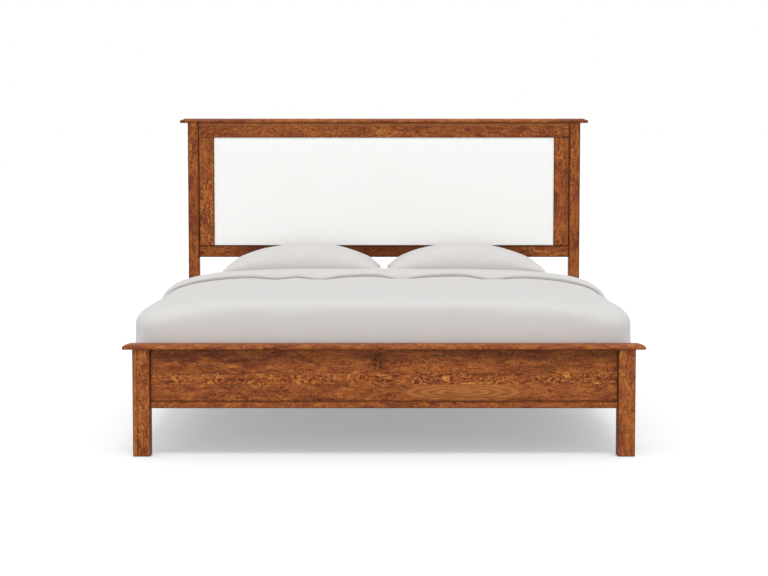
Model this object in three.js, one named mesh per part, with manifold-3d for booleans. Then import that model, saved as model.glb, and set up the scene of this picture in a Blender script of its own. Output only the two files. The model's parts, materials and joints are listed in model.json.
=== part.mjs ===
// A king-size bed: a cherry frame with an upholstered headboard panel, made up with mattress,
// duvet and pillows.
// Millimetres, +Z up, +Y towards the headboard. The origin is on the floor, in the middle of the bed.
import * as THREE from "three";
import { ConvexGeometry } from "three/addons/geometries/ConvexGeometry.js";
import { mergeVertices } from "three/addons/utils/BufferGeometryUtils.js";
import Module from "manifold-3d";

const wasm = await Module();
wasm.setup();

// Fits that every piece shares
const seatGap = 0.3; // left between two faces that rest on each other
const tenonPlay = 0.4; // round a tenon in its mortise, and past its end
const overrun = 6; // how far a cut runs past the face that it opens
const easedEdge = 1.6; // chamfer along the long edges of each board
const weldWithin = 0.001; // corners this close are one corner

// The bed's own sizes
const mattress = {
  width: 1930,
  length: 2030,
  thickness: 280,
  cornerRadius: 75,
  shoulderWidth: 200, // the rounding of the top edge, across and down
  shoulderHeight: 110,
  lowerEdge: 24, // rounding of the bottom edge
};
const sideGap = 10; // mattress to side rail
const footGap = 30; // mattress to foot posts, where the duvet is tucked
const headGap = 6; // mattress to head posts
const deckHeight = 325; // top of the slats
const railClearance = 197; // floor to the underside of rails and footboard

const rail = {
  thickness: 26,
  height: 203,
  setIn: 14, // outer face of the rail behind the outer face of the posts
};
const ledger = { width: 32, height: 32, endInset: 45 };
const slat = { width: 89, thickness: 19, count: 14, endPlay: 4, firstInset: 24 };
const footPost = { width: 70, depth: 64 };
const headPost = { size: 55 };
const footboardHeight = 457;
const headboardHeight = 1407;
const cap = {
  footThickness: 20,
  headThickness: 22,
  edge: 12, // upright edge under the bevel
  bevelRun: 24,
  overhang: 39, // past the posts at both ends
  footFront: 10, // past the foot posts, towards the viewer
  headFront: 4, // past the head posts, towards the mattress
  footBack: 6, // past the foot posts, towards the mattress
  headBack: 12, // past the head posts, towards the wall
};
const stub = { height: 9, inset: 14 }; // tenon on top of each post, let into the cap

const footPanel = {
  thickness: 20,
  setback: 22, // behind the front of the posts
  sideTongue: 10,
  topTongue: 5,
  bottomTongue: 6,
};
const footRail = {
  height: 27,
  proud: 10, // in front of the panel, and behind it
  tenonLength: 20,
  shoulder: 5,
};

const headFrame = {
  setback: 8, // behind the front of the head posts
  topRail: 76,
  lowerRail: 62,
  lowerRailTop: 752,
  stile: 80,
  lip: 4, // timber left in front of the upholstered panel
  rabbet: 12, // how far the panel's bed is cut into the frame
  tenonThickness: 12,
  tenonLength: 30,
  tenonSetback: 9,
  shoulder: 10,
  stileTenon: 22,
};
const stretcher = { thickness: 26, setback: 14 };

const upholstery = {
  cover: 1.2,
  foam: 8,
  board: 6,
  crown: 3, // how far the foam swells at its middle
  crownRise: 70, // distance from the frame over which it rises
  play: 1.5,
  flange: 26, // fabric turned over the back of the board
};
const stop = { width: 24, thickness: 7, play: 1 };

const plate = { width: 20, height: 132, thickness: 3 };
const hook = {
  thickness: 4,
  neck: 12,
  drop: 9, // how far the lip hangs below the neck
  lip: 5,
  nose: 2.5, // chamfer on the lip
  slack: 0.6, // lip to the back of the slotted plate
  slotWidth: 6,
  slotHeight: 30,
  pitch: 62,
  count: 2,
};
const pocketDepth = 8; // in the post, behind the slotted plate

const beam = { width: 38, height: 76 };
const hanger = { thickness: 3, play: 1, depth: 34, height: 72 };
const leg = { size: 57, fromHead: 570 };
const insert = { flangeRadius: 13, flange: 2.5, barrelRadius: 7, barrel: 16 };
const leveller = {
  stemRadius: 5,
  play: 0.15, // in the insert
  drilledPlay: 0.4, // in the leg
  stem: 46,
  footRadius: 20,
  foot: 8,
  footChamfer: 2,
  travelUp: 11, // how far the foot can be wound in from where it stands
};
const glide = {
  radius: 15,
  height: 3,
  chamfer: 1,
  pinRadius: 2.5,
  pin: 12,
  play: 0.4,
};
const roundSteps = 24;

const duvet = {
  loft: 38, // thickness over the middle of the mattress
  shoulderWidth: 800, // the rounding of the top, from each edge inwards, and down
  shoulderHeight: 140,
  sideStand: 59, // outer face past the side of the mattress
  headSpread: 14, // how much further out the face is by the folded part
  hemFlare: 6,
  footThickness: 20,
  footSlack: 2,
  cornerRadius: 130,
  railSlack: 4,
  railLead: 30, // height above the rail at which the face already clears it
  hem: 8, // above the underside of the mattress
  nose: 20, // rounding of the head end
};
// The part of the duvet that is folded back on itself
const turnDown = {
  depth: 300,
  rise: 25,
  shoulderHeight: 205,
  sideRise: 32,
  edge: 18, // length over which its edge rises
};
const pillow = {
  width: 787,
  depth: 500,
  aboveSeam: 109,
  belowSeam: 48,
  fromMiddle: 13,
  clearOfDuvet: 6,
  clearOfHead: 6, // back of the pillow in front of the mattress's head end
  pinchShare: 0.035, // how much of its size each side is drawn in by
  edgePower: 2.9, // how square the crown is
  sideFullness: 0.8,
  endFullness: 0.45,
  baseSteepness: 2.2,
  cornerDrop: 18, // how far each corner hangs below the seam
  dropPower: 4, // how close to the corner that starts
};

// Where things are across the bed
const mattressHalf = mattress.width / 2;
const railInner = mattressHalf + sideGap;
const railOuter = railInner + rail.thickness;
const railMiddle = (railInner + railOuter) / 2;
const postOuter = railOuter + rail.setIn;
const footPostInner = postOuter - footPost.width;
const headPostInner = postOuter - headPost.size;
const capHalf = postOuter + cap.overhang;

// Where things are along the bed
const innerLength = footGap + mattress.length + headGap;
const overallLength =
  cap.footFront + footPost.depth + innerLength + headPost.size + cap.headBack;
const footFront = cap.footFront - overallLength / 2;
const footBack = footFront + footPost.depth;
const headFront = footBack + innerLength;
const headBack = headFront + headPost.size;
const mattressFoot = footBack + footGap;
const mattressHead = mattressFoot + mattress.length;
const panelFront = footFront + footPanel.setback;
const panelBack = panelFront + footPanel.thickness;
const frameFront = headFront + headFrame.setback;
const stretcherFront = headFront + stretcher.setback;

// Where things are above the floor
const postBottom = glide.height;
const railBottom = railClearance;
const railTop = railBottom + rail.height;
const footCapBottom = footboardHeight - cap.footThickness;
const headCapBottom = headboardHeight - cap.headThickness;
const ledgerTop = deckHeight - slat.thickness - seatGap;
const beamBottom = ledgerTop - beam.height;
const mattressBottom = deckHeight + seatGap;
const mattressTop = mattressBottom + mattress.thickness;
const footRailTop = railBottom + footRail.height;
const openingBottom = headFrame.lowerRailTop;
const openingTop = headCapBottom - headFrame.topRail;
const openingHalf = headPostInner - headFrame.stile;

// Thickness of the headboard frame: lip, upholstered panel and the stops behind it
const panelStack =
  upholstery.cover * 2 + upholstery.foam + upholstery.board + seatGap * 3;
const frameThickness =
  headFrame.lip + seatGap + panelStack + seatGap + stop.thickness;
const frameBack = frameFront + frameThickness;

const colours = {
  cherry: { color: 0x93512b, roughness: 0.45 },
  poplar: { color: 0xc9a878, roughness: 0.7 },
  plywood: { color: 0xc8a878, roughness: 0.8 },
  foam: { color: 0xe8dfc0, roughness: 0.95 },
  linen: { color: 0xf3f3f0, roughness: 0.9 },
  ticking: { color: 0xe6e4e0, roughness: 0.9 },
  cotton: { color: 0xdcdad8, roughness: 0.9 },
  steel: { color: 0x8e9196, roughness: 0.4, metalness: 0.9 },
  nylon: { color: 0x2b2b2c, roughness: 0.6 },
};
const materials = Object.fromEntries(
  Object.entries(colours).map(([name, look]) => [
    name,
    new THREE.MeshStandardMaterial(look),
  ]),
);

const bed = new THREE.Group();

function add(name, geometry, material) {
  geometry.computeVertexNormals();
  const mesh = new THREE.Mesh(geometry, materials[material]);
  mesh.name = name;
  bed.add(mesh);
}

// Booleans between closed geometries

function solid(geometry) {
  const bare = geometry.clone();
  bare.deleteAttribute("normal");
  bare.deleteAttribute("uv");
  const merged = mergeVertices(bare);
  return new wasm.Manifold(
    new wasm.Mesh({
      numProp: 3,
      vertProperties: merged.attributes.position.array,
      triVerts: new Uint32Array(merged.index.array),
    }),
  );
}

function geometryOf(made) {
  const mesh = made.getMesh();
  const geometry = new THREE.BufferGeometry();
  geometry.setAttribute(
    "position",
    new THREE.BufferAttribute(mesh.vertProperties, 3),
  );
  geometry.setIndex(new THREE.BufferAttribute(mesh.triVerts, 1));
  return geometry.toNonIndexed();
}

function carve(base, cuts) {
  return geometryOf(
    cuts.reduce((left, cut) => left.subtract(solid(cut)), solid(base)),
  );
}

function fuse(pieces) {
  return geometryOf(
    pieces.map(solid).reduce((whole, piece) => whole.add(piece)),
  );
}

// A block between two limits on each axis.
function block([x0, x1], [y0, y1], [z0, z1]) {
  return new THREE.BoxGeometry(x1 - x0, y1 - y0, z1 - z0).translate(
    (x0 + x1) / 2,
    (y0 + y1) / 2,
    (z0 + z1) / 2,
  );
}

// The directions of a section's two axes and of its run, for a board along X, Y or Z.
const across = {
  x: new THREE.Matrix4().set(0, 0, 1, 0, 1, 0, 0, 0, 0, 1, 0, 0, 0, 0, 0, 1),
  y: new THREE.Matrix4().set(0, 1, 0, 0, 0, 0, 1, 0, 1, 0, 0, 0, 0, 0, 0, 1),
  z: new THREE.Matrix4(),
};

// A board with eased long edges, between two limits on each axis.
function board(along, x, y, z) {
  const [a, b, run] = { x: [y, z, x], y: [z, x, y], z: [x, y, z] }[along];
  const e = easedEdge;
  const outline = new THREE.Shape([
    new THREE.Vector2(a[0] + e, b[0]),
    new THREE.Vector2(a[1] - e, b[0]),
    new THREE.Vector2(a[1], b[0] + e),
    new THREE.Vector2(a[1], b[1] - e),
    new THREE.Vector2(a[1] - e, b[1]),
    new THREE.Vector2(a[0] + e, b[1]),
    new THREE.Vector2(a[0], b[1] - e),
    new THREE.Vector2(a[0], b[0] + e),
  ]);
  return new THREE.ExtrudeGeometry(outline, {
    depth: run[1] - run[0],
    bevelEnabled: false,
  })
    .translate(0, 0, run[0])
    .applyMatrix4(across[along]);
}

const grow = ([low, high], by) => [low - by, high + by];
const mirror = ([low, high]) => [-high, -low];
const onSide = (side, span) => (side > 0 ? span : mirror(span));
const about = (middle, size) => [middle - size / 2, middle + size / 2];

// A turned piece: radius and height pairs, from the axis round and back to it.
function turned(outline, x, y, z) {
  return new THREE.LatheGeometry(
    outline.map(([r, h]) => new THREE.Vector2(r, h)),
    roundSteps,
  )
    .rotateX(Math.PI / 2)
    .translate(x, y, z);
}

// Left and right, seen from the foot of the bed
const sides = [
  ["left", -1],
  ["right", 1],
];
const ends = [
  ["foot", -1],
  ["head", 1],
];

// Tenons that rails share with the posts that hold them

const headTenon = {
  y: [
    frameFront + headFrame.tenonSetback,
    frameFront + headFrame.tenonSetback + headFrame.tenonThickness,
  ],
  topZ: [openingTop + headFrame.shoulder + headFrame.rabbet, headCapBottom - headFrame.shoulder],
  lowZ: [
    openingBottom - headFrame.lowerRail + headFrame.shoulder,
    openingBottom - headFrame.shoulder - headFrame.rabbet,
  ],
};
const stretcherTenon = {
  y: about(
    stretcherFront + stretcher.thickness / 2,
    headFrame.tenonThickness,
  ),
  z: [railBottom + headFrame.shoulder, railTop - headFrame.shoulder],
};
const footTenon = {
  y: [panelFront, panelBack],
  z: [railBottom + footRail.shoulder, footRailTop - footPanel.bottomTongue - footRail.shoulder],
};

// A rail along X between two posts, with a tenon into each.
function crossRail(inner, y, z, tenonY, tenonZ, length) {
  const reach = inner + length;
  return fuse([
    board("x", grow([-inner, inner], -seatGap), y, z),
    block([-reach, reach], tenonY, tenonZ),
  ]);
}

// The mortise for such a tenon, in the post on one side.
function mortise(side, inner, tenonY, tenonZ, length) {
  return block(
    onSide(side, [inner - overrun, inner + length + tenonPlay]),
    grow(tenonY, tenonPlay),
    grow(tenonZ, tenonPlay),
  );
}

// The stub tenon on top of a post, and the hole for it in the cap.
function stubTenon(x, y, z) {
  return block(grow(x, -stub.inset), grow(y, -stub.inset), [
    z - overrun,
    z + stub.height,
  ]);
}

function stubHole(x, y, z) {
  return block(
    grow(x, tenonPlay - stub.inset),
    grow(y, tenonPlay - stub.inset),
    [z - overrun, z + stub.height + tenonPlay],
  );
}

// Hook-on rail fittings: a plate with two hooks in the rail's end, and a slotted plate in the post

const fittingZ = about((railBottom + railTop) / 2, plate.height);
const hookBases = Array.from(
  { length: hook.count },
  (_, n) =>
    (railBottom + railTop - hook.neck) / 2 +
    (n - (hook.count - 1) / 2) * hook.pitch,
);
const postFace = { foot: footBack, head: headFront };
// A span along Y that starts on the post's face and runs into the post, or out of it where it is negative.
const intoPost = (end, [near, far]) =>
  end === "head"
    ? [postFace.head + near, postFace.head + far]
    : [postFace.foot - far, postFace.foot - near];
const behindPlate = plate.thickness + hook.slack;
const hookReach = behindPlate + hook.lip;

function hookOutline(base) {
  const outline = new THREE.Shape();
  outline.moveTo(-seatGap - plate.thickness / 2, base);
  outline.lineTo(behindPlate, base);
  outline.lineTo(behindPlate, base - hook.drop);
  outline.lineTo(hookReach - hook.nose, base - hook.drop);
  outline.lineTo(hookReach, base - hook.drop + hook.nose);
  outline.lineTo(hookReach, base + hook.neck);
  outline.lineTo(-seatGap - plate.thickness / 2, base + hook.neck);
  return outline;
}

function hookPlate(side, end) {
  const x = about(side * railMiddle, plate.width);
  const out = end === "head" ? 1 : -1;
  const turn = new THREE.Matrix4().makeBasis(
    new THREE.Vector3(0, out, 0),
    new THREE.Vector3(0, 0, 1),
    new THREE.Vector3(out, 0, 0),
  );
  const hooks = hookBases.map((base) =>
    new THREE.ExtrudeGeometry(hookOutline(base), {
      depth: hook.thickness,
      bevelEnabled: false,
    })
      .translate(0, 0, -hook.thickness / 2)
      .applyMatrix4(turn)
      .translate(side * railMiddle, postFace[end], 0),
  );
  return fuse([
    block(x, intoPost(end, [-seatGap - plate.thickness, -seatGap]), fittingZ),
    ...hooks,
  ]);
}

function slotPlate(side, end) {
  const slots = hookBases.map((base) =>
    block(
      about(side * railMiddle, hook.slotWidth),
      intoPost(end, [-overrun, plate.thickness + overrun]),
      [base - seatGap, base - seatGap + hook.slotHeight],
    ),
  );
  return carve(
    block(
      about(side * railMiddle, plate.width),
      intoPost(end, [0, plate.thickness]),
      fittingZ,
    ),
    slots,
  );
}

// What the slotted plate and the hooks need cut out of the post.
function postPockets(side, end) {
  const x = side * railMiddle;
  const lowest = hookBases[0] - hook.drop - pocketDepth / 2;
  const highest = hookBases[hook.count - 1] + hook.slotHeight;
  return [
    block(
      grow(about(x, plate.width), seatGap),
      intoPost(end, [-overrun, plate.thickness + seatGap]),
      grow(fittingZ, seatGap),
    ),
    block(
      about(x, hook.slotWidth + hook.thickness),
      intoPost(end, [0, plate.thickness + pocketDepth]),
      [lowest, highest],
    ),
  ];
}

function glideHole(x, y) {
  return new THREE.CylinderGeometry(
    glide.pinRadius + glide.play,
    glide.pinRadius + glide.play,
    glide.pin + overrun,
    roundSteps,
  )
    .rotateX(Math.PI / 2)
    .translate(x, y, postBottom + (glide.pin - overrun) / 2 + glide.play);
}

// Posts

function footPostPiece(side) {
  const x = onSide(side, [footPostInner, postOuter]);
  const y = [footFront, footBack];
  const middle = (x[0] + x[1]) / 2;
  const panelGroove = block(
    onSide(side, [
      footPostInner - overrun,
      footPostInner + footPanel.sideTongue + tenonPlay,
    ]),
    grow([panelFront, panelBack], tenonPlay),
    [footRailTop - footPanel.bottomTongue - tenonPlay, footboardHeight],
  );
  const post = carve(
    board("z", x, y, [postBottom, footCapBottom - seatGap]),
    [
      panelGroove,
      mortise(side, footPostInner, footTenon.y, footTenon.z, footRail.tenonLength),
      glideHole(middle, (y[0] + y[1]) / 2),
      ...postPockets(side, "foot"),
    ],
  );
  return carve(fuse([post, stubTenon(x, y, footCapBottom - seatGap)]), [
    panelGroove,
  ]);
}

function headPostPiece(side) {
  const x = onSide(side, [headPostInner, postOuter]);
  const y = [headFront, headBack];
  const post = fuse([
    board("z", x, y, [postBottom, headCapBottom - seatGap]),
    stubTenon(x, y, headCapBottom - seatGap),
  ]);
  const rails = [
    [headTenon.y, headTenon.topZ],
    [headTenon.y, headTenon.lowZ],
    [stretcherTenon.y, stretcherTenon.z],
  ];
  return carve(post, [
    ...rails.map(([ty, tz]) =>
      mortise(side, headPostInner, ty, tz, headFrame.tenonLength),
    ),
    glideHole((x[0] + x[1]) / 2, (y[0] + y[1]) / 2),
    ...postPockets(side, "head"),
  ]);
}

for (const [name, side] of sides) {
  add(`footboard_post_${name}`, footPostPiece(side), "cherry");
  add(`headboard_post_${name}`, headPostPiece(side), "cherry");
}

// Caps: boards with a bevel on top along the front and both ends

function capBoard(y, bottom, top) {
  const corners = (inset, z) => [
    new THREE.Vector3(-capHalf + inset, y[0] + inset, z),
    new THREE.Vector3(capHalf - inset, y[0] + inset, z),
    new THREE.Vector3(capHalf - inset, y[1], z),
    new THREE.Vector3(-capHalf + inset, y[1], z),
  ];
  return new ConvexGeometry([
    ...corners(0, bottom),
    ...corners(0, bottom + cap.edge),
    ...corners(cap.bevelRun, top),
  ]);
}

const footCapY = [footFront - cap.footFront, footBack + cap.footBack];
add(
  "footboard_cap",
  carve(capBoard(footCapY, footCapBottom, footboardHeight), [
    ...sides.map(([, side]) =>
      stubHole(
        onSide(side, [footPostInner, postOuter]),
        [footFront, footBack],
        footCapBottom,
      ),
    ),
    block(
      grow([-footPostInner, footPostInner], footPanel.sideTongue),
      grow([panelFront, panelBack], tenonPlay),
      [footCapBottom - overrun, footCapBottom + footPanel.topTongue + tenonPlay],
    ),
  ]),
  "cherry",
);

const headCapY = [headFront - cap.headFront, headBack + cap.headBack];
add(
  "headboard_cap",
  carve(
    capBoard(headCapY, headCapBottom, headboardHeight),
    sides.map(([, side]) =>
      stubHole(
        onSide(side, [headPostInner, postOuter]),
        [headFront, headBack],
        headCapBottom,
      ),
    ),
  ),
  "cherry",
);

// Footboard panel and the rail under it

add(
  "footboard_panel",
  block(
    grow([-footPostInner, footPostInner], footPanel.sideTongue - seatGap),
    [panelFront, panelBack],
    [
      footRailTop - footPanel.bottomTongue + seatGap,
      footCapBottom + footPanel.topTongue - seatGap,
    ],
  ),
  "cherry",
);

add(
  "footboard_bottom_rail",
  carve(
    crossRail(
      footPostInner,
      grow([panelFront, panelBack], footRail.proud),
      [railBottom, footRailTop],
      footTenon.y,
      footTenon.z,
      footRail.tenonLength,
    ),
    [
      block(
        grow([-footPostInner, footPostInner], overrun),
        grow([panelFront, panelBack], tenonPlay),
        [footRailTop - footPanel.bottomTongue, footRailTop + overrun],
      ),
    ],
  ),
  "cherry",
);

// Headboard frame, with a rabbet at the back of its opening for the upholstered panel

const rabbetX = grow([-openingHalf, openingHalf], headFrame.rabbet);
const rabbetZ = grow([openingBottom, openingTop], headFrame.rabbet);
const rabbetCut = block(
  rabbetX,
  [frameFront + headFrame.lip, frameBack + overrun],
  rabbetZ,
);

const stileX = [openingHalf, headPostInner - seatGap];
const stileTenonX = [
  openingHalf + headFrame.rabbet + tenonPlay * 2,
  headPostInner - headFrame.shoulder,
];
const stileTenonZ = grow([openingBottom, openingTop], headFrame.stileTenon);
const stileMortises = sides.map(([, side]) =>
  block(
    grow(onSide(side, stileTenonX), tenonPlay),
    grow(headTenon.y, tenonPlay),
    grow(stileTenonZ, tenonPlay),
  ),
);

add(
  "headboard_top_rail",
  carve(
    crossRail(
      headPostInner,
      [frameFront, frameBack],
      [openingTop, headCapBottom - seatGap],
      headTenon.y,
      headTenon.topZ,
      headFrame.tenonLength,
    ),
    [rabbetCut, ...stileMortises],
  ),
  "cherry",
);
add(
  "headboard_lower_rail",
  carve(
    crossRail(
      headPostInner,
      [frameFront, frameBack],
      [openingBottom - headFrame.lowerRail, openingBottom],
      headTenon.y,
      headTenon.lowZ,
      headFrame.tenonLength,
    ),
    [rabbetCut, ...stileMortises],
  ),
  "cherry",
);
for (const [name, side] of sides) {
  add(
    `headboard_stile_${name}`,
    carve(
      fuse([
        board(
          "z",
          onSide(side, stileX),
          [frameFront, frameBack],
          grow([openingBottom, openingTop], -seatGap),
        ),
        block(onSide(side, stileTenonX), headTenon.y, stileTenonZ),
      ]),
      [rabbetCut],
    ),
    "cherry",
  );
}
add(
  "headboard_stretcher",
  crossRail(
    headPostInner,
    [stretcherFront, stretcherFront + stretcher.thickness],
    [railBottom, railTop],
    stretcherTenon.y,
    stretcherTenon.z,
    headFrame.tenonLength,
  ),
  "cherry",
);

// The upholstered panel: fabric over foam over plywood

// Places from minus one half to plus one half, closer together towards both ends.
function crowded(count) {
  return Array.from({ length: count + 1 }, (_, n) =>
    Math.sin((n / count - 1 / 2) * Math.PI),
  );
}

// A slab whose front swells by the crown, between its front and back faces along Y.
function crownedSlab(halfWidth, z, front, back, crown) {
  const columns = crowded(22);
  const rows = crowded(12);
  const middleZ = (z[0] + z[1]) / 2;
  const halfHeight = (z[1] - z[0]) / 2;
  const rise = (inside) => {
    const share = THREE.MathUtils.clamp(inside / upholstery.crownRise, 0, 1);
    return Math.sin((share * Math.PI) / 2);
  };
  const place = (column, row) => {
    const x = columns[column] * halfWidth;
    const up = rows[row] * halfHeight;
    const insideX = openingHalf - Math.abs(x);
    const insideZ = (openingTop - openingBottom) / 2 - Math.abs(up);
    const y = front - crown * rise(insideX) * rise(insideZ);
    return new THREE.Vector3(x, y, middleZ + up);
  };
  const rim = [];
  const quads = [];
  for (let c = 0; c < columns.length - 1; c++)
    for (let r = 0; r < rows.length - 1; r++)
      quads.push([place(c, r), place(c + 1, r), place(c + 1, r + 1), place(c, r + 1)]);
  for (let c = 0; c < columns.length - 1; c++) rim.push(place(c, 0));
  for (let r = 0; r < rows.length - 1; r++) rim.push(place(columns.length - 1, r));
  for (let c = columns.length - 1; c > 0; c--) rim.push(place(c, rows.length - 1));
  for (let r = rows.length - 1; r > 0; r--) rim.push(place(0, r));
  const behind = (p) => new THREE.Vector3(p.x, back, p.z);
  const hub = new THREE.Vector3(0, back, middleZ);
  rim.forEach((p, n) => {
    const next = rim[(n + 1) % rim.length];
    quads.push([p, behind(p), behind(next), next]);
    quads.push([behind(p), hub, behind(next)]);
  });
  return faceted(quads);
}

// A closed mesh from polygons of three or four corners, whose faces without area are left out.
function faceted(polygons) {
  const corners = [];
  for (const [a, b, c, d] of polygons) {
    corners.push(a, b, c);
    if (d) corners.push(a, c, d);
  }
  const geometry = mergeVertices(
    new THREE.BufferGeometry().setFromPoints(corners),
    weldWithin,
  );
  const index = geometry.index.array;
  const kept = [];
  for (let n = 0; n < index.length; n += 3) {
    const [a, b, c] = index.slice(n, n + 3);
    if (a !== b && b !== c && c !== a) kept.push(a, b, c);
  }
  geometry.setIndex(kept);
  return geometry.toNonIndexed();
}

const coverFront = frameFront + headFrame.lip + seatGap;
const coverBack = coverFront + panelStack;
const foamFront = coverFront + upholstery.cover + seatGap;
const foamBack = foamFront + upholstery.foam;
const boardFront = foamBack + seatGap;
const boardBack = boardFront + upholstery.board;
const coverHalf = openingHalf + headFrame.rabbet - upholstery.play;
const coverZ = grow(rabbetZ, -upholstery.play);
const wrap = upholstery.cover + seatGap;

add(
  "headboard_panel_cover",
  carve(crownedSlab(coverHalf, coverZ, coverFront, coverBack, upholstery.crown), [
    crownedSlab(
      coverHalf - upholstery.cover,
      grow(coverZ, -upholstery.cover),
      coverFront + upholstery.cover,
      coverBack - upholstery.cover,
      upholstery.crown,
    ),
    block(
      grow([-coverHalf, coverHalf], -upholstery.flange),
      [boardFront, coverBack + overrun],
      grow(coverZ, -upholstery.flange),
    ),
  ]),
  "linen",
);
add(
  "headboard_panel_foam",
  crownedSlab(
    coverHalf - wrap,
    grow(coverZ, -wrap),
    foamFront,
    foamBack,
    upholstery.crown,
  ),
  "foam",
);
add(
  "headboard_panel_board",
  block(
    grow([-coverHalf, coverHalf], -wrap),
    [boardFront, boardBack],
    grow(coverZ, -wrap),
  ),
  "plywood",
);

const stopY = [coverBack + seatGap, frameBack];
const stopX = grow(rabbetX, -stop.play);
const stopZ = grow(rabbetZ, -stop.play);
add(
  "panel_stop_top",
  block(stopX, stopY, [stopZ[1] - stop.width, stopZ[1]]),
  "poplar",
);
add(
  "panel_stop_bottom",
  block(stopX, stopY, [stopZ[0], stopZ[0] + stop.width]),
  "poplar",
);
for (const [name, side] of sides) {
  add(
    `panel_stop_${name}`,
    block(
      onSide(side, [stopX[1] - stop.width, stopX[1]]),
      stopY,
      grow(stopZ, -stop.width - seatGap),
    ),
    "poplar",
  );
}

// Side rails, their ledgers and the fittings at their ends

for (const [name, side] of sides) {
  add(
    `side_rail_${name}`,
    carve(
      board(
        "y",
        onSide(side, [railInner, railOuter]),
        grow([footBack, headFront], -seatGap),
        [railBottom, railTop],
      ),
      ends.map(([end]) =>
        block(
          grow(about(side * railMiddle, plate.width), seatGap),
          intoPost(end, [-seatGap * 2 - plate.thickness, 0]),
          grow(fittingZ, seatGap),
        ),
      ),
    ),
    "cherry",
  );
  add(
    `slat_ledger_${name}`,
    board(
      "y",
      onSide(side, [railInner - ledger.width - seatGap, railInner - seatGap]),
      grow([footBack, headFront], -ledger.endInset),
      [ledgerTop - ledger.height, ledgerTop],
    ),
    "poplar",
  );
  for (const [end] of ends) {
    add(`rail_hook_plate_${end}_${name}`, hookPlate(side, end), "steel");
    add(`post_slot_plate_${end}_${name}`, slotPlate(side, end), "steel");
  }
}

// Slats across the ledgers

const slatReach = innerLength - slat.width - slat.firstInset * 2;
for (let n = 0; n < slat.count; n++) {
  const start =
    footBack + slat.firstInset + (slatReach * n) / (slat.count - 1);
  add(
    `slat_${String(n + 1).padStart(2, "0")}`,
    board(
      "x",
      grow([-railInner, railInner], -slat.endPlay),
      [start, start + slat.width],
      [deckHeight - slat.thickness, deckHeight],
    ),
    "poplar",
  );
}

// Centre beam in its two hangers

const beamClear = hanger.thickness + seatGap * 2;
add(
  "centre_beam",
  board(
    "y",
    about(0, beam.width),
    [panelBack + beamClear, stretcherFront - beamClear],
    [beamBottom, ledgerTop],
  ),
  "poplar",
);

// A steel pocket whose back plate stands against a face, and which opens towards the beam.
function beamHanger(face, towards) {
  const along = (near, far) =>
    towards > 0 ? [face + near, face + far] : [face - far, face - near];
  const inside = beam.width + hanger.play * 2;
  const seat = beamBottom - seatGap;
  return carve(
    block(
      about(0, inside + hanger.thickness * 2),
      along(seatGap, seatGap + hanger.depth),
      [seat - hanger.thickness, seat + hanger.height],
    ),
    [
      block(
        about(0, inside),
        along(seatGap + hanger.thickness, hanger.depth + overrun),
        [seat, seat + hanger.height + overrun],
      ),
    ],
  );
}
add("beam_hanger_foot", beamHanger(panelBack, 1), "steel");
add("beam_hanger_head", beamHanger(stretcherFront, -1), "steel");

// Centre leg with its threaded insert and levelling foot

const legY = headFront - leg.fromHead;
const legBottom = leveller.foot + leveller.travelUp + insert.flange + seatGap * 2;
const boreRadius = leveller.stemRadius + leveller.play;
const stemBottom = leveller.foot;
const stemTop = stemBottom + leveller.stem;

function legBore(radius, z) {
  return new THREE.CylinderGeometry(radius, radius, z[1] - z[0], roundSteps)
    .rotateX(Math.PI / 2)
    .translate(0, legY, (z[0] + z[1]) / 2);
}

add(
  "centre_leg",
  carve(
    board("z", about(0, leg.size), about(legY, leg.size), [
      legBottom,
      beamBottom - seatGap,
    ]),
    [
      legBore(insert.barrelRadius + leveller.drilledPlay, [
        legBottom - overrun,
        legBottom + insert.barrel + seatGap,
      ]),
      legBore(leveller.stemRadius + leveller.drilledPlay, [
        legBottom,
        stemTop + leveller.travelUp,
      ]),
    ],
  ),
  "poplar",
);
add(
  "leveller_insert",
  turned(
    [
      [boreRadius, -insert.flange],
      [insert.flangeRadius, -insert.flange],
      [insert.flangeRadius, -seatGap],
      [insert.barrelRadius, -seatGap],
      [insert.barrelRadius, insert.barrel],
      [boreRadius, insert.barrel],
      [boreRadius, -insert.flange],
    ],
    0,
    legY,
    legBottom,
  ),
  "steel",
);
add(
  "centre_leg_leveller",
  turned(
    [
      [0, 0],
      [leveller.footRadius - leveller.footChamfer, 0],
      [leveller.footRadius, leveller.footChamfer],
      [leveller.footRadius, leveller.foot - leveller.footChamfer],
      [leveller.footRadius - leveller.footChamfer, leveller.foot],
      [leveller.stemRadius, leveller.foot],
      [leveller.stemRadius, stemTop],
      [0, stemTop],
    ],
    0,
    legY,
    0,
  ),
  "nylon",
);

// Nylon glides under the posts

function glideUnder(x, y) {
  return turned(
    [
      [0, 0],
      [glide.radius - glide.chamfer, 0],
      [glide.radius, glide.chamfer],
      [glide.radius, glide.height - seatGap],
      [glide.pinRadius, glide.height - seatGap],
      [glide.pinRadius, glide.height + glide.pin],
      [0, glide.height + glide.pin],
    ],
    x,
    y,
    0,
  );
}
for (const [name, side] of sides) {
  add(
    `post_glide_foot_${name}`,
    glideUnder(
      (side * (footPostInner + postOuter)) / 2,
      (footFront + footBack) / 2,
    ),
    "nylon",
  );
  add(
    `post_glide_head_${name}`,
    glideUnder(
      (side * (headPostInner + postOuter)) / 2,
      (headFront + headBack) / 2,
    ),
    "nylon",
  );
}

// Mattress: rounded loops from the bottom edge up over a soft shoulder

const cornerSteps = 4;
const shoulderSteps = 8;
// Exponents of the shoulders' curves: higher is squarer
const blunt = { mattress: 2.2, duvetFoot: 3.4, duvetHead: 3, turnDown: 3.3 };

// A share of the way out, and of the way up, along a blunt quarter curve.
function shoulder(step, squareness) {
  const angle = (step / shoulderSteps) * (Math.PI / 2);
  return {
    out: Math.sin(angle) ** (2 / squareness),
    up: Math.max(Math.cos(angle), 0) ** (2 / squareness),
  };
}

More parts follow.
